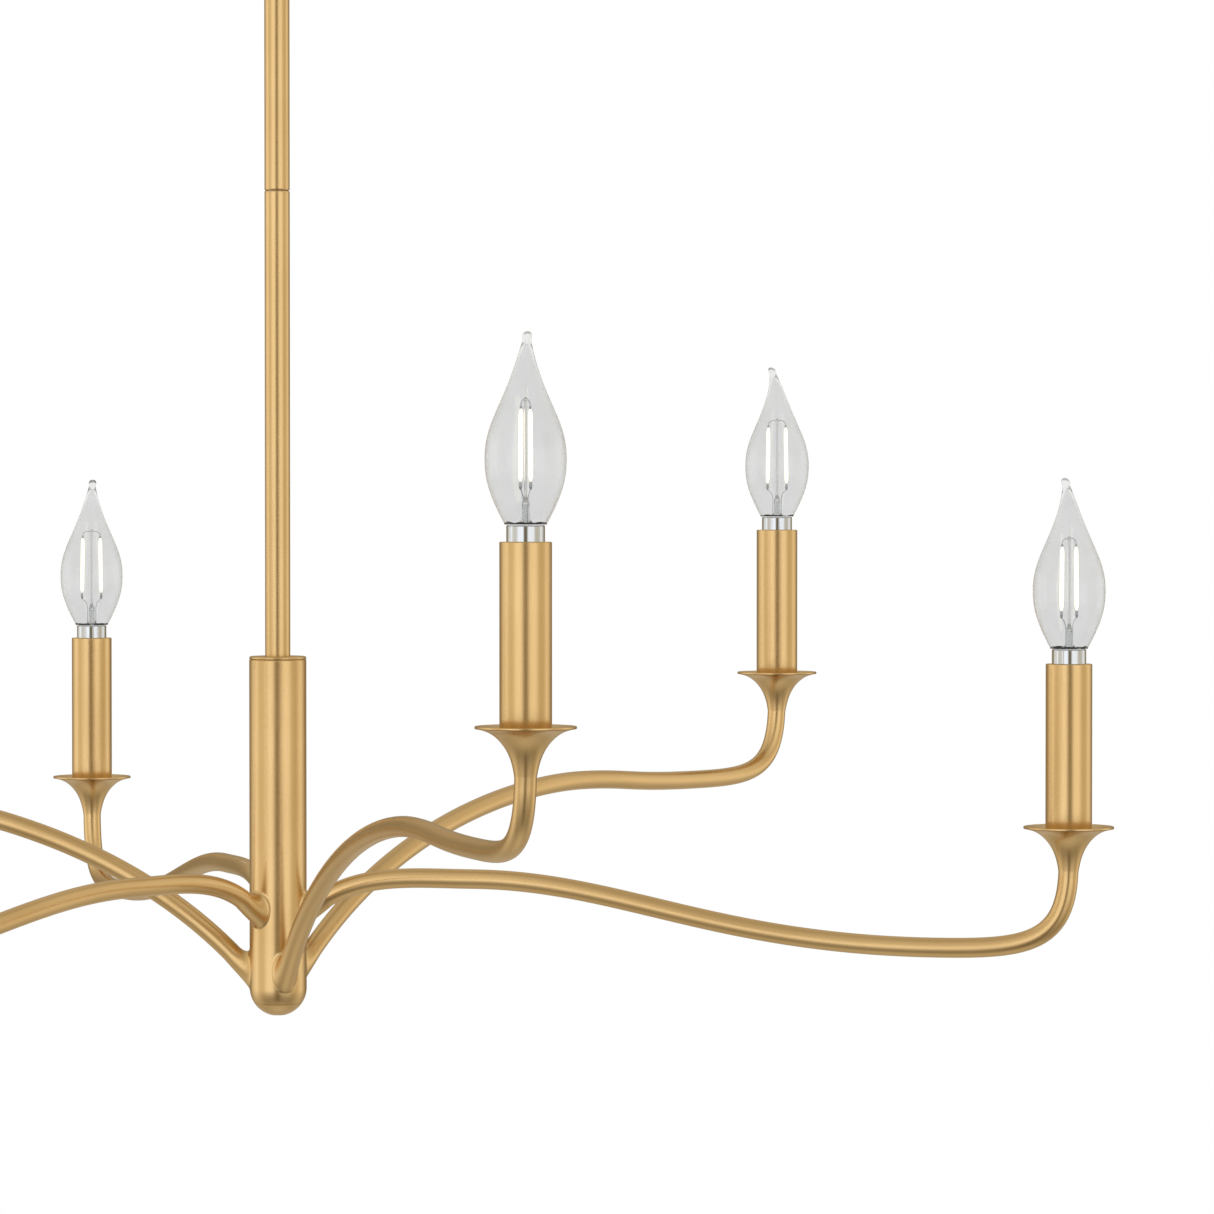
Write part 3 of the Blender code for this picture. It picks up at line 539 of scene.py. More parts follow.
def green_screw():
    """Green dyed zinc of the ground screw."""
    made, tree, shader = nodes_of("green_screw")
    tone = blend_colours(tree, clouds(tree, 500.0), (0.02, 0.20, 0.06), (0.05, 0.33, 0.12))
    tree.links.new(tone, shader.inputs["Base Color"])
    shader.inputs["Metallic"].default_value = 0.7
    shader.inputs["Roughness"].default_value = 0.38
    return made


def socket_plastic():
    """Black moulded phenolic with a fine grain."""
    made, tree, shader = nodes_of("socket_plastic")
    grain = clouds(tree, 1500.0, 3.0)
    tone = blend_colours(tree, grain, (0.010, 0.009, 0.008), (0.026, 0.023, 0.020))
    tree.links.new(tone, shader.inputs["Base Color"])
    tree.links.new(spread(tree, grain, 0.30, 0.45), shader.inputs["Roughness"])
    bump(tree, shader, grain, 0.00002, 0.4)
    return made


def bulb_chrome():
    """Nickel-plated brass of the bulb's collar and thread, with a little drawing grain."""
    made, tree, shader = nodes_of("bulb_chrome")
    grain = streaks(tree, 2600.0, 90.0)
    tone = blend_colours(tree, grain, (0.56, 0.59, 0.64), (0.64, 0.67, 0.72))
    tree.links.new(tone, shader.inputs["Base Color"])
    tree.links.new(spread(tree, grain, 0.06, 0.14), shader.inputs["Roughness"])
    shader.inputs["Metallic"].default_value = 1.0
    return made


def clear_glass():
    """Thin blown glass, faintly grey, with the slow waviness of a drawn bulb."""
    made, tree, shader = nodes_of("clear_glass")
    wave = clouds(tree, 70.0, 1.0)
    tone = blend_colours(tree, wave, (0.815, 0.820, 0.818), (0.845, 0.850, 0.848))
    tree.links.new(tone, shader.inputs["Base Color"])
    shader.inputs["Transmission Weight"].default_value = 1.0
    shader.inputs["Roughness"].default_value = 0.0
    shader.inputs["IOR"].default_value = 1.47
    return made


def filament_glow():
    """A lit filament: warm white all along, yellower in its uneven coating."""
    made, tree, shader = nodes_of("filament_glow")
    tone = blend_colours(tree, clouds(tree, 900.0), (1.0, 0.86, 0.62), (1.0, 0.93, 0.76))
    tree.links.new(tone, shader.inputs["Base Color"])
    tree.links.new(tone, shader.inputs["Emission Color"])
    shader.inputs["Emission Strength"].default_value = 1.5
    shader.inputs["Roughness"].default_value = 0.5
    return made


FINISHES = {
    make.__name__: make()
    for make in (
        satin_brass,
        zinc_steel,
        green_screw,
        socket_plastic,
        bulb_chrome,
        clear_glass,
        filament_glow,
    )
}


# ---------------------------------------------------------------- ceiling fitting


def make_ceiling_fitting():
    """What stays on the ceiling: the canopy, a round-cornered dish turned about Z, and what holds it there."""
    depth, lip = CANOPY_DEPTH, CANOPY_LIP
    corner = (CANOPY_RADIUS - CANOPY_CORNER, CANOPY_CORNER - depth)
    hole = NIPPLE_RADIUS + GAP
    shell = [
        *arc((CANOPY_RADIUS - lip, -lip), lip, 90, 0, 7),
        *arc(corner, CANOPY_CORNER, 0, -90, 20),
        (0.5 * corner[0], -depth),
        (hole, -depth),
        (hole, CANOPY_WALL - depth),
        (0.5 * corner[0], CANOPY_WALL - depth),
        *arc(corner, CANOPY_CORNER - CANOPY_WALL, -90, 0, 16),
        (CANOPY_RADIUS - CANOPY_WALL, -lip),
    ]
    piece("canopy_shell", [turned(shell, closed=True, points=160)], "satin_brass", "root", "canopy")
    for side, name in ((-1, "left"), (1, "right")):
        make_canopy_screw(name, side * CANOPY_SCREW_SPACING / 2)
    under = -BAR_THICK - GAP
    place = (GROUND_SCREW_X, 0, 0)
    head = [
        (0, under),
        (GROUND_HEAD_RADIUS, under),
        (GROUND_HEAD_RADIUS, under - 0.85 * GROUND_HEAD_HEIGHT),
        (0.86 * GROUND_HEAD_RADIUS, under - GROUND_HEAD_HEIGHT),
        (0, under - GROUND_HEAD_HEIGHT),
    ]
    shank, thread = threaded(SCREW_RADIUS, SCREW_PITCH, SCREW_THREAD, under, -GAP)
    skins = [turned(head, place, points=72, swell=hexagon), turned(shank, place, points=24, swell=thread)]
    piece("ground_screw_hex", skins, "green_screw", "root", "ground_screw", sharp=30)
    nipple_end = YOKE_TOP - NIPPLE_GRIP
    shank, thread = threaded(NIPPLE_RADIUS, NIPPLE_PITCH, NIPPLE_THREAD, nipple_end, -GAP)
    bore = [(NIPPLE_BORE, nipple_end), (NIPPLE_BORE, -GAP)]

    def only_outside(angle, height):
        """The thread's swell, with the bore's two rows left round."""
        share = thread(angle, height)
        share[-2:] = 1.0
        return share

    skins = [turned(shank + bore, closed=True, points=SMALL_ROUND, swell=only_outside)]
    piece("nipple_thread", skins, "zinc_steel", "root", "ceiling_nipple", sharp=30)
    nut = [
        (0.88 * NUT_RADIUS, under),
        (NUT_RADIUS, under - 0.12 * NUT_HEIGHT),
        (NUT_RADIUS, under - 0.88 * NUT_HEIGHT),
        (0.88 * NUT_RADIUS, under - NUT_HEIGHT),
        (hole, under - NUT_HEIGHT),
        (hole, under),
    ]

    def hex_outside(angle, height):
        """The hexagon's swell, with the hole's two rows left round."""
        share = hexagon(angle, height) * np.ones_like(height)
        share[-2:] = 1.0
        return share

    skins = [turned(nut, closed=True, points=72, swell=hex_outside)]
    piece("locknut", skins, "zinc_steel", "root", "nipple_locknut", sharp=25)
    for name in ("ceiling_bar", "rod_coupling", "rod_seat"):
        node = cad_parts[name]
        node.data.materials.clear()
        node.data.materials.append(FINISHES["zinc_steel"])


def make_canopy_screw(name, x):
    """A screw from the bar down through the canopy, and the knurled knob that holds the canopy up on it."""
    floor = -CANOPY_DEPTH - GAP
    grip = KNOB_GRIP * KNOB_LENGTH
    shank, thread = threaded(SCREW_RADIUS, SCREW_PITCH, SCREW_THREAD, floor - grip, -GAP)
    skins = [turned(shank, (x, 0, 0), points=24, swell=thread)]
    piece(f"canopy_screw_thread_{name}", skins, "zinc_steel", "root", f"canopy_screw_{name}", sharp=30)
    low = floor - KNOB_LENGTH
    waist = low + KNOB_RADIUS
    edge = KNOB_EDGE
    knurled = np.linspace(floor - 4 / 3 * edge, waist + edge, 6)
    knob = [
        (0, floor),
        (KNOB_RADIUS - 5 / 3 * edge, floor),
        *[(KNOB_RADIUS, height) for height in knurled],
        *arc((0, waist), KNOB_RADIUS - edge, 0, -84, 14),
        (0, low + edge),
    ]

    def knurl(angle, height):
        """A cosine wave round the knob, on its straight side only."""
        on = (height <= knurled[0]) & (height >= knurled[-1])
        return 1 - KNURL_DEPTH * on * (0.5 - 0.5 * np.cos(KNURLS * angle))

    skins = [turned(knob, (x, 0, 0), points=240, swell=knurl)]
    piece(f"canopy_knob_knurled_{name}", skins, "satin_brass", "root", f"canopy_knob_{name}")


# ---------------------------------------------------------------- swivel


def knuckle(low, high, root):
    """A plate across the pin, from low to high along Y, square at its root and half-round beyond the pin."""
    side = 1 if root > PIN_HEIGHT else -1
    start = -180 if root > PIN_HEIGHT else 0
    ends = [(side * KNUCKLE_RADIUS, root), (-side * KNUCKLE_RADIUS, root)]
    return plate([*ends, *arc((0, PIN_HEIGHT), KNUCKLE_RADIUS, start, start + 180, 32)], low, high)


def make_swivel():
    """The yoke with its two ears, the pin through them, and the tongue between them that carries the stem."""
    bridge = YOKE_TOP - YOKE_COLLAR
    edge = SWIVEL_EDGE
    thread_end = YOKE_TOP - NIPPLE_GRIP - GAP
    collar = [
        (NIPPLE_RADIUS + GAP, YOKE_TOP),
        (YOKE_RADIUS - edge, YOKE_TOP),
        *arc((YOKE_RADIUS - edge, YOKE_TOP - edge), edge, 90, 0, 5),
        *arc((YOKE_RADIUS - 2 * edge, bridge + 2 * edge), 2 * edge, 0, -90, 6),
        (NIPPLE_BORE, bridge),
        (NIPPLE_BORE, thread_end),
        (NIPPLE_RADIUS + GAP, thread_end),
    ]
    inner, outer = TONGUE_THICK / 2 + GAP, KNUCKLE_WIDTH / 2
    ears = [knuckle(*sides, bridge + edge) for sides in ((inner, outer), (-outer, -inner))]
    piece("yoke", [turned(collar, closed=True), *ears], "satin_brass", "swivel", "swivel_yoke")
    reach = outer + GAP
    rim = reach + PIN_HEAD_RIM
    top = reach + PIN_HEAD_HEIGHT
    crown = 1.2 * PIN_HEAD_RADIUS
    pin = [
        (0, top),
        *arc((0, top - crown), crown, 88, 62, 6),
        (PIN_HEAD_RADIUS, rim),
        (PIN_HEAD_RADIUS, reach),
        (PIN_RADIUS, reach),
        (PIN_RADIUS, -reach),
        (PIN_HEAD_RADIUS, -reach),
        (PIN_HEAD_RADIUS, -rim),
        *arc((0, crown - top), crown, -62, -88, 6),
        (0, -top),
    ]
    across = spun(turned(pin, points=SMALL_ROUND), [1, 2, 0])
    piece("cross_pin", [moved(across, (0, 0, PIN_HEIGHT))], "satin_brass", "swivel", "swivel_pin")
    low = SHOULDER - TONGUE_COLLAR
    spigot = ROD_BORE - GAP
    bore = 0.6 * spigot
    above, bottom, below = (SHOULDER - share * TONGUE_COLLAR for share in TONGUE_GROOVE)
    collar = [
        (TONGUE_COLLAR_RADIUS - 2 * edge, SHOULDER),
        *arc((TONGUE_COLLAR_RADIUS - 2 * edge, SHOULDER - 2 * edge), 2 * edge, 90, 0, 6),
        (TONGUE_COLLAR_RADIUS, above),
        (TONGUE_COLLAR_RADIUS - edge, bottom),
        (TONGUE_COLLAR_RADIUS, below),
        *arc((TONGUE_COLLAR_RADIUS - edge, low + edge), edge, 0, -90, 5),
        (spigot, low),
        (spigot, low - SPIGOT_LENGTH),
        (bore, low - SPIGOT_LENGTH),
        (bore, SHOULDER - TONGUE_COLLAR / 3),
        (0.5 * bore, SHOULDER - TONGUE_COLLAR / 4),
        (0.5 * bore, SHOULDER),
    ]
    half = TONGUE_THICK / 2
    skins = [turned(collar, closed=True), knuckle(-half, half, SHOULDER - edge)]
    piece("tongue", skins, "satin_brass", "fixture", "swivel_tongue")


# ---------------------------------------------------------------- stem and hub


def make_stem():
    """The two rods, plain tubes end to end."""
    half = GAP / 2
    upper = tube(ROD_RADIUS, ROD_BORE, ROD_JOINT + half, ROD_TOP)
    lower = tube(ROD_RADIUS, ROD_BORE, ROD_BOTTOM, ROD_JOINT - half)
    piece("stem_upper", [turned(upper, closed=True)], "satin_brass", "fixture", "upper_rod")
    piece("stem_lower", [turned(lower, closed=True)], "satin_brass", "fixture", "lower_rod")


def make_hub():
    """The hub, turned about Z: its cap, its column, a tube that closes into a ball, and its foot plug."""
    top, hole = HUB_TOP, ROD_RADIUS + GAP
    lip = HUB_INNER - GAP
    under = top - HUB_CAP_THICK
    plug_low = under - 2 * HUB_CAP_THICK
    cap = [
        *arc((HUB_RADIUS - HUB_CAP_EDGE, top - HUB_CAP_EDGE), HUB_CAP_EDGE, 90, 0, 9),
        (HUB_RADIUS, under + SHARP_EDGE),
        (HUB_RADIUS - SHARP_EDGE, under),
        (lip, under),
        (lip, plug_low),
        (hole, plug_low),
        (hole, top - SHARP_EDGE),
        (hole + SHARP_EDGE, top),
    ]
    piece("hub_cap", [turned(cap, closed=True)], "satin_brass", "fixture", "hub_top_cap")
    centre = HUB_BOTTOM + FOOT_CENTRE
    foot = FOOT_CENTRE - FOOT_PLUG_HEIGHT
    split = math.degrees(math.asin((foot - GAP / 3) / HUB_RADIUS))
    plug_top = HUB_BOTTOM + FOOT_PLUG_HEIGHT
    floor_top = plug_top + FOOT_PLUG_HEIGHT
    start = under - GAP / 2
    column = [
        (HUB_RADIUS - SHARP_EDGE, start),
        (HUB_RADIUS, start - SHARP_EDGE),
        (HUB_RADIUS, start - 4 * SHARP_EDGE),
        *[(HUB_RADIUS, height) for height in np.linspace(start - 0.01, centre + 0.004, 20)],
        *arc((0, centre), HUB_RADIUS, 0, -split, 10),
        (HUB_RADIUS / 2, plug_top + GAP / 3),
        (HUB_RADIUS / 2, floor_top),
        (HUB_INNER, floor_top),
        (HUB_INNER, start),
    ]
    piece("hub_tube", [turned(column, closed=True)], "satin_brass", "fixture", "hub_column")
    split = math.degrees(math.asin(foot / HUB_RADIUS))
    flat = math.degrees(math.acos(HUB_FOOT_FLAT / HUB_RADIUS))
    plug = [
        (0, plug_top),
        (HUB_RADIUS * math.cos(math.radians(split)) - SHARP_EDGE, plug_top),
        *arc((0, centre), HUB_RADIUS, -split - 1, -flat, 14),
        (0, HUB_BOTTOM),
    ]
    piece("hub_foot", [turned(plug)], "satin_brass", "fixture", "hub_foot_plug")


# ---------------------------------------------------------------- arms


def arm_route(tier):
    """The arm's centre line, three cubic curves end to end: from the root up to the arch, down to the dip, and
    round the bend to the cup.

    Gives its points (reach, height above the hub's lowest point), evenly spaced, how far along it each is, and
    the root's direction.
    """
    slope = np.array([math.cos(tier["root_slope"]), math.sin(tier["root_slope"])])
    root = np.array([HUB_RADIUS, tier["root_height"]])
    arch = np.array([tier["arch_reach"], tier["arch_height"]])
    dip = np.array([ARM_REACH - DIP_SETBACK, tier["dip_height"]])
    bend = np.array([ARM_REACH, tier["dip_height"] + BEND_HEIGHT])
    rise, fall = arch[0] - root[0], dip[0] - arch[0]
    along, up = np.array([1.0, 0.0]), np.array([0.0, 1.0])
    leave, arrive = tier["rise_handles"]
    parts = [root[None], bezier(root, root + slope * leave * rise, arch - along * arrive * rise, arch, 200)]
    leave, arrive = tier["fall_handles"]
    parts.append(bezier(arch, arch + along * leave * fall, dip - along * arrive * fall, dip, 200))
    leave, arrive = BEND_HANDLES
    parts.append(bezier(dip, dip + along * leave, bend - up * arrive, bend, 200))
    route = np.vstack(parts)
    run = np.concatenate([[0.0], np.cumsum(np.linalg.norm(np.diff(route, axis=0), axis=1))])
    even = np.linspace(0, run[-1], 150)
    return np.stack([np.interp(even, run, route[:, i]) for i in (0, 1)], -1), even, slope


def on_hub(points):
    """points, measured from the hub's lowest point, moved straight onto its surface: a tube over a ball."""
    base = np.array([0, 0, 1.0]) * np.maximum(points[:, 2:], FOOT_CENTRE)
    away = points - base
    return base + HUB_RADIUS * away / np.linalg.norm(away, axis=1, keepdims=True)


def root_fillet(rings, slope, ring_runs):
    """Rings of the brazed root: each point of the hub's surface round the arm flows onto the arm.

    Its curve is a cubic that starts within the hub's surface, towards the arm, and ends along the arm.
    """
    along = np.array([slope[0], 0, slope[1]])
    start = np.array([HUB_RADIUS, 0, rings[0, :, 2].mean()])
    final = rings[np.searchsorted(ring_runs, ROOT_RUN)]
    spokes = final - final.mean(axis=0)
    upper_side = 0.5 + 0.5 * spokes[:, 2:] / np.abs(spokes[:, 2]).max()
    fillet = ROOT_FILLET * (UNDER_FILLET + (1 - UNDER_FILLET) * upper_side)
    wide = start + spokes * (1 + fillet / ARM_RADIUS)
    foot = on_hub(wide + along * (HUB_RADIUS - wide[:, :1]) / slope[0])
    base = np.array([0, 0, 1.0]) * np.maximum(foot[:, 2:], FOOT_CENTRE)
    normal = (foot - base) / HUB_RADIUS
    inward = start - foot
    inward -= normal * (inward * normal).sum(axis=1, keepdims=True)
    inward /= np.linalg.norm(inward, axis=1, keepdims=True)
    gap = np.linalg.norm(final - foot, axis=1, keepdims=True)
    spread_out = np.linalg.norm(foot - start, axis=1, keepdims=True) - ARM_RADIUS
    leave = foot + inward * ROOT_HANDLES[0] * spread_out
    arrive = final - along * ROOT_HANDLES[1] * gap
    t = np.linspace(0, 1, 20)[:, None, None]
    curve = (1 - t) ** 3 * foot + 3 * (1 - t) ** 2 * t * leave + 3 * (1 - t) * t**2 * arrive + t**3 * final
    sunk = foot - normal * ROOT_SINK
    deep = start - np.array([HUB_WALL, 0, 0]) + 0.5 * spokes
    return np.concatenate([[deep], [sunk], curve])


def cup_rings(rim, route):
    """Rings of the candle cup: a horn outside, a rounded rim, and a shallow dish round the candle's seat.

    The horn's radius falls exponentially with depth, and a second, steeper exponential is its lip. Its lower
    end keeps to the arm's own centre line, route.
    """
    depth = CUP_DEPTH * np.linspace(1, 0, 40) ** 2
    end = math.exp(-CUP_DEPTH / CUP_DECAY)
    share = (np.exp(-depth / CUP_DECAY) - end) / (1 - end)
    lip = np.exp(-depth / LIP_DECAY)
    radius = ARM_RADIUS + (HORN_RADIUS - ARM_RADIUS) * share + (CUP_RADIUS - HORN_RADIUS) * lip
    edge = CUP_EDGE / 3
    outside = np.stack([radius[:-1], rim - CUP_EDGE - depth[:-1]], -1)
    lower = arc((CUP_RADIUS - edge, rim - CUP_EDGE + edge), edge, -80, 0, 5)
    lip = np.vstack([lower, arc((CUP_RADIUS - edge, rim - edge), edge, 0, 120, 8)])
    dish_edge = (CUP_RADIUS - DISH_LIP - edge, rim - edge)
    (out, down), past = DISH_HANDLES
    seat = rim - SEAT_DEPTH
    leave, arrive = (SEAT_RADIUS + out, rim - down), (SEAT_RADIUS + past, seat)
    dish = bezier(dish_edge, leave, arrive, (SEAT_RADIUS, seat), 12)
    profile = np.vstack([outside, lip, [dish_edge], dish, [(SEAT_RADIUS / 2, seat)]])
    radius, height = profile.T[:, :, None]
    centre = np.interp(height, route[:, 1], route[:, 0])
    angle = circle(ARM_ROUND)[None, :]
    return np.stack([centre - radius * np.cos(angle), radius * np.sin(angle), height + 0 * angle], -1)


def arm_skin(tier, angle):
    """One arm from its brazed root to its cup's seat, as one closed skin turned to its place round the hub."""
    route, runs, slope = arm_route(tier)
    path = np.stack([route[:, 0], np.zeros(len(route)), route[:, 1]], -1)
    rings = along_path(path, ARM_RADIUS, np.array([0.0, 1.0, 0.0]), ARM_ROUND)
    root = root_fillet(rings, slope, runs)
    upturned = route[:, 0] > ARM_REACH - DIP_SETBACK
    stop = tier["rim_height"] - CUP_EDGE - CUP_DEPTH
    last = np.flatnonzero(upturned & (route[:, 1] < stop))[-1]
    body = rings[np.searchsorted(runs, ROOT_RUN) + 1 : last]
    corners, faces, uvs = skin(np.concatenate([root, body, cup_rings(tier["rim_height"], route[upturned])]))
    return turn_about_z(corners, angle) + np.array((0, 0, HUB_BOTTOM)), faces, uvs


def arm_angle(number):
    """The arm's turn about Z from the XZ plane."""
    return TAU / ARM_COUNT * (number - 1) - TAU / 4


# ---------------------------------------------------------------- candles


def glass_rings(turn):
    """The bulb: an ogee from a round belly to a slender bent tip with a bead on it, with a thin wall.

    The outline is two cubic curves, turned about Z. The bend is a shift that grows as a power of the height
    above the belly. The wall thickens exponentially as the bore narrows, so that the bore ends in a point.
    """
    neck = GLASS_HEIGHT - TIP_NECK
    bead = arc((0, GLASS_HEIGHT - TIP_BEAD_RADIUS), TIP_BEAD_RADIUS, 88, -25, 12)
    belly = (GLASS_RADIUS, GLASS_BELLY)
    leave, arrive = SHOULDER_HANDLES
    upper = bezier((TIP_NECK_RADIUS, neck), leave, (GLASS_RADIUS, arrive), belly, 48)
    leave, arrive = FOOT_HANDLES
    lower = bezier(belly, (GLASS_RADIUS, leave), arrive, (GLASS_FOOT_RADIUS, 0.0), 28)
    outer = np.vstack([bead, [(TIP_NECK_RADIUS, neck)], upper, lower])
    inner = np.vstack([upper, lower])
    closing = TIP_WALLS * np.exp((TIP_NECK_RADIUS - inner[:, 0]) / TIP_CLOSING)
    inner[:, 0] -= GLASS_WALL * (1 + closing)
    inner = inner[inner[:, 0] > GLASS_WALL / 3]
    profile = np.vstack([outer, inner[::-1]])
    radius, height = profile.T[:, :, None]
    angle = circle(72)[None, :]
    share = np.clip((height - GLASS_BELLY) / (GLASS_HEIGHT - GLASS_BELLY), 0, 1)
    lean = -TIP_LEAN * share**TIP_LEAN_POWER
    x = radius * np.cos(angle) + lean * math.cos(turn)
    y = radius * np.sin(angle) + lean * math.sin(turn)
    return np.stack([x, y, height + 0 * angle], -1)


def ferrule(x, height, size, tall):
    """A small barrel at (x, height), turned about Z: size is its radius, and tall half its height."""
    shares = ((0, 1), (0.7, 0.8), (1, 0), (0.6, -0.8), (0, -1))
    profile = [(out * size, height + up * tall) for out, up in shares]
    return turned(profile, (x, 0, 0), points=16)


def filament_skins(turn):
    """The two lit filaments, the wires that hold them, their ferrules and the glass mount, as lists of skins.

    A filament's radius follows a high even power of the place along it, so it is a rod with rounded ends.
    """
    half = FILAMENT_SPACING / 2
    low, high = FILAMENT_BOTTOM, FILAMENT_TOP
    lit, wires, knots = [], [], []
    rows = np.linspace(1, 0, 14)
    ends = np.sqrt(np.clip(1 - (2 * rows - 1) ** 14, 0.02, 1))
    for side in (-1, 1):
        foot, head = (side * half * splay for splay in FILAMENT_SPLAY)
        path = np.stack([foot + (head - foot) * rows, 0 * rows, low + (high - low) * rows], -1)
        lit.append(skin(along_path(path, FILAMENT_RADIUS * ends, np.array([0.0, 1.0, 0.0]), 20)))
        inside = side * 1.5 * MOUNT_NECK
        lead = np.array([
            (inside, 0, 0.0006),
            (inside, 0, 1.05 * MOUNT_HEIGHT),
            (0.65 * side * half, 0, 1.35 * MOUNT_HEIGHT),
            (foot, 0, low - WIRE_DROP),
            (foot, 0, low + WIRE_GRIP),
        ])
        hook = np.array([
            (head, 0, high - WIRE_GRIP),
            (head, 0, high + HOOK_RISE),
            (0.55 * head, 0, high + HOOK_MIDDLE),
            (0.10 * head, 0, high + HOOK_END),
        ])
        wires += [wire(lead, WIRE_RADIUS), wire(hook, WIRE_RADIUS)]
        knots += [ferrule(foot, low - FOOT_KNOT_DROP, *FOOT_KNOT), ferrule(head, high, *HEAD_KNOT)]
    groups = lit, wires, knots, [turned(mount_profile(), points=32)]
    return [[(turn_about_z(c, turn), f, u) for c, f, u in group] for group in groups]


def mount_profile():
    """The glass mount, down its outside and up its bore: a flared foot, a neck, and a fine rod under a bead."""
    neck, wall, bead = MOUNT_NECK, MOUNT_WALL, MOUNT_BEAD
    outside = [(1.2 * MOUNT_ROD, 1.12), (0.8 * neck, 1.03), (neck, 0.95), (neck, 0.40), (1.25 * neck, 0.22)]
    bore = [(1.25 * neck, 0.18), (neck, 0.36), (neck, 0.86)]
    foot = MOUNT_WALL
    return [
        (0, FILAMENT_TOP + MOUNT_TOP),
        *arc((0, FILAMENT_TOP + HOOK_MIDDLE), bead, 70, -40, 8),
        (MOUNT_ROD, FILAMENT_TOP + 2 * bead),
        (MOUNT_ROD, 1.30 * MOUNT_HEIGHT),
        *[(radius, share * MOUNT_HEIGHT) for radius, share in outside],
        (1.80 * neck, 0.10 * MOUNT_HEIGHT),
        (MOUNT_RADIUS, foot),
        (MOUNT_RADIUS - wall, foot),
        (1.80 * neck - wall, 0.08 * MOUNT_HEIGHT),
        *[(radius - wall, share * MOUNT_HEIGHT) for radius, share in bore],
        (0, 0.92 * MOUNT_HEIGHT),
    ]


def painted_shadow_ring_skin(number):
    """A dark ring round the glass's foot, painted shadow where the glass meets the collar: a thin ring whose
    top edge is a sum of sine waves round it.
    """
    angle = circle(72)
    top = SHADOW_RING_HEIGHT + sum(tall * np.sin(waves * angle + shift * number) for waves, shift, tall in SHADOW_RING_WAVES)
    low = 0 * top
    corners = ((SHADOW_RING_RADIUS, top), (SHADOW_RING_RADIUS, low), (SHADOW_RING_BORE, low), (SHADOW_RING_BORE, top))
    radius = np.array([out for out, _ in corners])[:, None]
    height = np.array([up for _, up in corners])
    return skin(np.stack([radius * np.cos(angle), radius * np.sin(angle), height], -1), closed=True)


def wire(points, radius):
    """A fine round wire through these points of the XZ plane, rounded where it bends."""
    run = np.concatenate([[0.0], np.cumsum(np.linalg.norm(np.diff(points, axis=0), axis=1))])
    fine = np.linspace(0, run[-1], 28)
    path = np.stack([np.interp(fine, run, points[:, i]) for i in range(3)], -1)
    for _ in range(4):
        path[1:-1] = (path[:-2] + 2 * path[1:-1] + path[2:]) / 4
    return skin(along_path(path, radius, np.array([0.0, 1.0, 0.0]), 10))


def socket_profile(seat):
    """The lamp socket on its stem, down its outside and back up through its bore."""
    top = -SOCKET_BELOW
    low = top - SOCKET_LENGTH
    bore = SCREW_SHELL_RADIUS + SHELL_CLEARANCE
    floor = low + SOCKET_FLOOR
    edge = 0.0006
    stem = SOCKET_STEM_RADIUS
    return [
        (bore + edge, top),
        (SOCKET_RADIUS - edge, top),
        (SOCKET_RADIUS, top - edge),
        (SOCKET_RADIUS, low + 4 * edge),
        (SOCKET_RADIUS - 2 * edge, low),
        (stem, low),
        (stem, seat + GAP),
        (0.7 * stem, seat + GAP),
        (0.7 * stem, low - edge),
        (0.5 * stem, low),
        (0.5 * stem, floor),
        (bore, floor),
        (bore, top - edge),
    ]


def base_skins():
    """Skins of the bulb's base: its metal from the collar's top down, its insulator and its contact."""
    edge = 0.0004
    shell_top = COLLAR_BOTTOM - 2 * edge
    shell_low = shell_top - SCREW_SHELL_LENGTH
    thread_rows, thread = threaded(
        SCREW_SHELL_RADIUS, SHELL_PITCH, SHELL_THREAD, shell_low + edge, shell_top - edge, round_thread=True
    )
    metal = [
        (0, COLLAR_TOP),
        (COLLAR_RADIUS - edge, COLLAR_TOP),
        (COLLAR_RADIUS, COLLAR_TOP - edge),
        *[(COLLAR_RADIUS, height) for height in np.linspace(COLLAR_TOP - 2 * edge, COLLAR_BOTTOM + edge, 6)],
        (COLLAR_RADIUS - edge, COLLAR_BOTTOM),
        (SCREW_SHELL_RADIUS, shell_top),
        *thread_rows,
        (0.85 * SCREW_SHELL_RADIUS, shell_low),
        (0, shell_low),
    ]

    def swell(angle, height):
        """The thread's swell on its own rows, and none elsewhere."""
        on = (height <= thread_rows[0][1]) & (height >= thread_rows[-1][1])
        return np.where(on, thread(angle, height), 1.0)

    contact_low = shell_low - CONTACT_LENGTH
    insulator = [
        (0, shell_low),
        (0.82 * SCREW_SHELL_RADIUS, shell_low),
        (1.3 * CONTACT_RADIUS, contact_low + 2 * edge),
        (0, contact_low + 2 * edge),
    ]
    contact = [
        (0, contact_low + 2 * edge),
        (CONTACT_RADIUS, contact_low + 2 * edge),
        (CONTACT_RADIUS, contact_low + edge),
        (0.6 * CONTACT_RADIUS, contact_low),
        (0, contact_low),
    ]
    ends = (turned(profile, points=32) for profile in (insulator, contact))
    return turned(metal, points=SMALL_ROUND, swell=swell), *ends


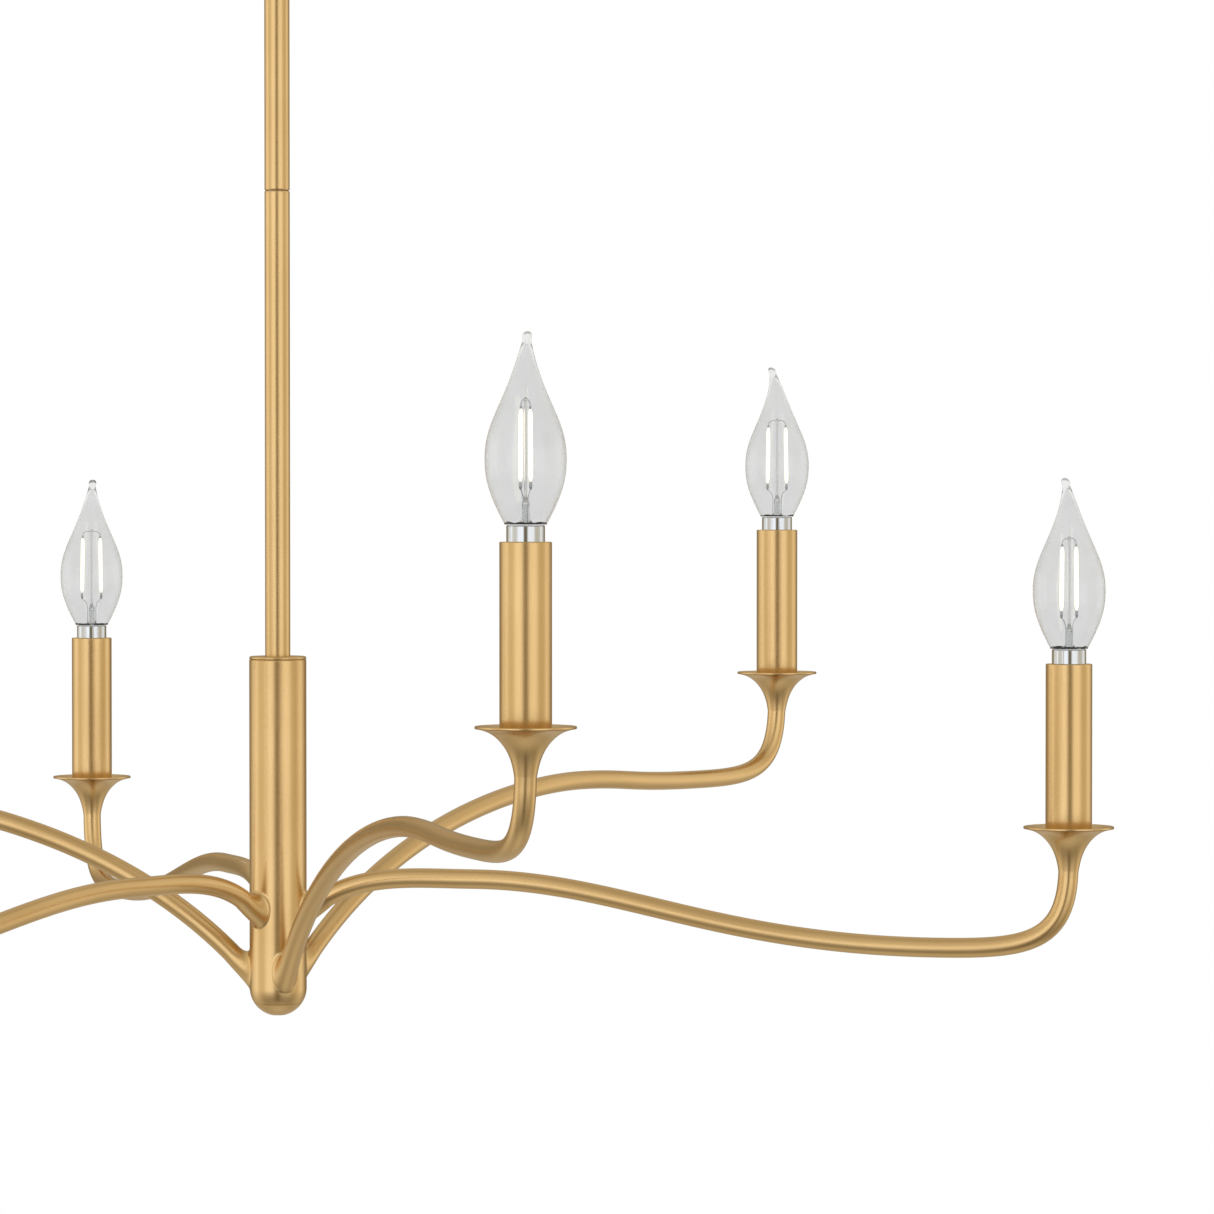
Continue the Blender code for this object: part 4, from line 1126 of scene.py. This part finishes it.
def make_arms_and_candles():
    """The arms round the hub, odd ones from its foot and even ones from higher up, each with its candle."""
    seat = -SLEEVE_ABOVE_RIM - SEAT_DEPTH
    sleeve = [
        (SLEEVE_INNER + SLEEVE_WALL / 2, 0),
        *arc((SLEEVE_RADIUS - SLEEVE_WALL / 2, -SLEEVE_WALL / 2), SLEEVE_WALL / 2, 75, 0, 6),
        *[(SLEEVE_RADIUS, height) for height in np.linspace(-0.002, seat + 0.001, 8)],
        (SLEEVE_RADIUS - SHARP_EDGE, seat + GAP),
        (SLEEVE_INNER, seat + GAP),
        (SLEEVE_INNER, -SLEEVE_WALL),
        (SLEEVE_INNER + SLEEVE_WALL / 4, -SLEEVE_WALL / 4),
    ]
    shell_top = -SOCKET_BELOW - SHELL_DROP
    shell_radius = SCREW_SHELL_RADIUS + SHELL_CLEARANCE
    shell = tube(shell_radius + GAP, shell_radius, shell_top - SCREW_SHELL_LENGTH, shell_top, GAP / 3)
    glass_foot = COLLAR_TOP + GAP
    base, insulator, contact = base_skins()
    for number in range(1, ARM_COUNT + 1):
        tier = LOW_ROOT if number % 2 else HIGH_ROOT
        angle = arm_angle(number)
        top = HUB_BOTTOM + tier["rim_height"] + SLEEVE_ABOVE_RIM
        axis = (ARM_REACH * math.cos(angle), ARM_REACH * math.sin(angle), top)
        bulb = f"bulb_{number}"
        shade = turned(sleeve, axis, closed=True)
        socket = turned(socket_profile(seat), axis, closed=True, points=SMALL_ROUND)
        socket_lining = turned(shell, axis, closed=True, points=SMALL_ROUND)
        piece(f"arm_and_cup_{number}", [arm_skin(tier, angle)], "satin_brass", "fixture", f"arm_{number}")
        piece(f"sleeve_tube_{number}", [shade], "satin_brass", f"sleeve_{number}", f"candle_sleeve_{number}")
        piece(f"socket_body_{number}", [socket], "socket_plastic", "fixture", f"lamp_socket_{number}")
        piece(f"socket_shell_{number}", [socket_lining], "bulb_chrome", "fixture")
        metal = [moved(base, axis), moved(contact, axis)]
        piece(f"bulb_metal_{number}", metal, "bulb_chrome", bulb, f"bulb_base_{number}")
        piece(f"bulb_insulator_{number}", [moved(insulator, axis)], "socket_plastic", bulb)
        foot = np.array(axis) + np.array((0, 0, glass_foot))
        tip_turn, filament_turn = (
            angle + math.radians(turns[number - 1]) for turns in (TIP_TURNS, FILAMENT_TURNS)
        )
        glass = [moved(skin(glass_rings(tip_turn)), foot)]
        piece(f"bulb_envelope_{number}", glass, "clear_glass", bulb, f"bulb_glass_{number}")
        lit, wires, knots, mount = ([moved(s, foot) for s in group] for group in filament_skins(filament_turn))
        piece(f"filament_pair_{number}", lit, "filament_glow", bulb, f"filament_{number}")
        piece(f"filament_wires_{number}", wires, "bulb_chrome", bulb)
        piece(f"filament_knots_{number}", knots, "zinc_steel", bulb)
        piece(f"glass_mount_{number}", mount, "clear_glass", bulb)
        # A dark ring round the glass's foot, painted shadow where the glass meets the collar.
        piece(f"bulb_shadow_ring_{number}", [moved(painted_shadow_ring_skin(number), foot)], "socket_plastic", bulb)


# ---------------------------------------------------------------- studio


def make_floor():
    """A plain pale floor: one round face, which reflections on the object leave out."""
    edge = circle()
    corners = np.stack([FLOOR_RADIUS * np.cos(edge), FLOOR_RADIUS * np.sin(edge), 0 * edge + FLOOR_HEIGHT], -1)
    mesh = bpy.data.meshes.new("floor")
    mesh.from_pydata(corners.tolist(), [], [list(range(ROUND))])
    floor = bpy.data.objects.new("floor", mesh)
    bpy.context.scene.collection.objects.link(floor)
    made, _, shader = nodes_of("floor_paint")
    shader.inputs["Base Color"].default_value = (*FLOOR_TONE, 1.0)
    shader.inputs["Roughness"].default_value = 0.8
    mesh.materials.append(made)
    floor.visible_glossy = False


# The studio's bands: angle round the object in degrees, from the camera's side towards the right, brightness,
# and how warm the shade is there
STUDIO = (
    (-180, 0.17, 0.6),
    (-138, 0.17, 0.6),
    (-118, 0.62, 0.8),
    (-92, 0.92, 1.0),
    (-79, 0.62, 1.0),
    (-58, 0.60, 1.0),
    (-42, 0.93, 1.0),
    (-16, 0.96, 1.0),
    (-6, 0.16, 0.8),
    (7, 0.16, 0.8),
    (18, 0.90, 1.0),
    (48, 0.87, 1.0),
    (62, 0.50, 1.0),
    (90, 0.52, 1.0),
    (102, 0.80, 1.0),
    (118, 0.66, 0.8),
    (140, 0.15, 0.8),
    (180, 0.17, 0.6),
)
SHADE_WARMTH = np.array([0.0, 0.16, 0.54])  # powers, past 1, that turn a brightness into red, green and blue
EVEN_WARMTH = 0.5
STUDIO_STRENGTH = 1.51

# The studio from straight below to straight above: sine of the height's angle, share of the bands there, and
# even light from the camera's side and from behind
HEIGHTS = (
    (-1.00, 0.0, 0.47, 0.50),
    (-0.93, 0.0, 0.30, 0.50),
    (-0.80, 0.1, 0.07, 0.43),
    (-0.62, 0.2, 0.05, 0.41),
    (-0.40, 0.4, 0.07, 0.36),
    (-0.15, 1.0, 0.0, 0.05),
    (0.15, 1.0, 0.0, 0.05),
    (0.35, 0.6, 0.20, 0.22),
    (0.60, 0.3, 0.31, 0.40),
    (0.87, 0.22, 0.27, 0.42),
    (1.00, 0.0, 0.34, 0.42),
)


def ramp_of(tree, value, low, high, stops):
    """A ramp of greys or colours over value, from low to high. Stops are (value, colour)."""
    share = add(tree, "ShaderNodeMapRange", in_From_Min=low, in_From_Max=high)
    tree.links.new(value, share.inputs["Value"])
    node = add(tree, "ShaderNodeValToRGB")
    elements = node.color_ramp.elements
    elements.remove(elements[-1])
    for index, (at, colour) in enumerate(stops):
        place = (at - low) / (high - low)
        element = elements[0] if index == 0 else elements.new(place)
        element.position = place
        element.color = (*colour, 1.0)
    tree.links.new(share.outputs["Result"], node.inputs["Fac"])
    return node.outputs["Color"]


def make_studio():
    """White surroundings to look at, and soft boxes that only light the object: bright and dark bands round it.

    The light is the bands' brightness times their share at that height, plus the even light there.
    """
    scene = bpy.context.scene
    world = bpy.data.worlds.new("studio")
    scene.world = world
    world.use_nodes = True
    tree = world.node_tree
    tree.nodes.clear()
    link = tree.links.new
    place = add(tree, "ShaderNodeTexCoord")
    turn = add(tree, "ShaderNodeMapping", vector_type="POINT", in_Rotation=(0, 0, LOOK_AZIMUTH + math.pi / 2))
    split = add(tree, "ShaderNodeSeparateXYZ")
    angle = add(tree, "ShaderNodeMath", operation="ARCTAN2")
    link(place.outputs["Generated"], turn.inputs["Vector"])
    link(turn.outputs["Vector"], split.inputs["Vector"])
    link(split.outputs["Y"], angle.inputs[0])
    link(split.outputs["X"], angle.inputs[1])
    shades = [(math.radians(at), level ** (1 + warmth * SHADE_WARMTH)) for at, level, warmth in STUDIO]
    bands = ramp_of(tree, angle.outputs["Value"], -math.pi, math.pi, shades)
    height = split.outputs["Z"]
    strength = ramp_of(tree, height, -1, 1, [(at, (share,) * 3) for at, share, _, _ in HEIGHTS])
    warmed = 1 + EVEN_WARMTH * SHADE_WARMTH
    front = ramp_of(tree, height, -1, 1, [(at, level**warmed) for at, _, level, _ in HEIGHTS])
    back = ramp_of(tree, height, -1, 1, [(at, level**warmed) for at, _, _, level in HEIGHTS])
    nearness = add(tree, "ShaderNodeMapRange", in_From_Min=-1, in_From_Max=1)
    link(split.outputs["X"], nearness.inputs["Value"])
    even = add(tree, "ShaderNodeMix", data_type="VECTOR")
    link(nearness.outputs["Result"], even.inputs["Factor"])
    link(back, even.inputs["A"])
    link(front, even.inputs["B"])
    light = add(tree, "ShaderNodeVectorMath", operation="MULTIPLY_ADD")
    for socket, value in enumerate((bands, strength, even.outputs["Result"])):
        link(value, light.inputs[socket])
    lit = add(tree, "ShaderNodeBackground", in_Strength=STUDIO_STRENGTH)
    link(light.outputs["Vector"], lit.inputs["Color"])
    plain = add(tree, "ShaderNodeBackground", in_Color=(1.0, 1.0, 1.0, 1.0), in_Strength=1.0)
    # Plain white shows straight ahead and through glass. What bounces off a dull surface sees the studio.
    rays = add(tree, "ShaderNodeLightPath")
    seen = add(tree, "ShaderNodeMath", operation="ADD", use_clamp=True)
    link(rays.outputs["Is Camera Ray"], seen.inputs[0])
    link(rays.outputs["Transmission Depth"], seen.inputs[1])
    looked_at = add(tree, "ShaderNodeMath", operation="SUBTRACT", use_clamp=True)
    link(seen.outputs["Value"], looked_at.inputs[0])
    link(rays.outputs["Is Diffuse Ray"], looked_at.inputs[1])
    choose = add(tree, "ShaderNodeMixShader")
    link(looked_at.outputs["Value"], choose.inputs["Fac"])
    link(lit.outputs["Background"], choose.inputs[1])
    link(plain.outputs["Background"], choose.inputs[2])
    out = add(tree, "ShaderNodeOutputWorld")
    link(choose.outputs["Shader"], out.inputs["Surface"])
    scene.view_settings.view_transform = "Standard"


def make_camera():
    """The camera at its distance and height on its own azimuth, turned from the stem by its yaw and pitch."""
    data = bpy.data.cameras.new("camera")
    data.lens = CAMERA_LENS
    data.sensor_width = CAMERA_SENSOR
    camera = bpy.data.objects.new("camera", data)
    bpy.context.scene.collection.objects.link(camera)
    camera.location = (
        -CAMERA_DISTANCE * math.sin(CAMERA_AZIMUTH),
        -CAMERA_DISTANCE * math.cos(CAMERA_AZIMUTH),
        HUB_BOTTOM + CAMERA_HEIGHT,
    )
    level = math.cos(CAMERA_PITCH)
    ahead = Vector((math.sin(LOOK_AZIMUTH) * level, math.cos(LOOK_AZIMUTH) * level, -math.sin(CAMERA_PITCH)))
    camera.rotation_euler = ahead.to_track_quat("-Z", "Y").to_euler()
    data.clip_start, data.clip_end = CAMERA_CLIP
    bpy.context.scene.camera = camera


make_camera()
make_floor()
make_studio()
make_ceiling_fitting()
make_swivel()
make_stem()
make_hub()
make_arms_and_candles()
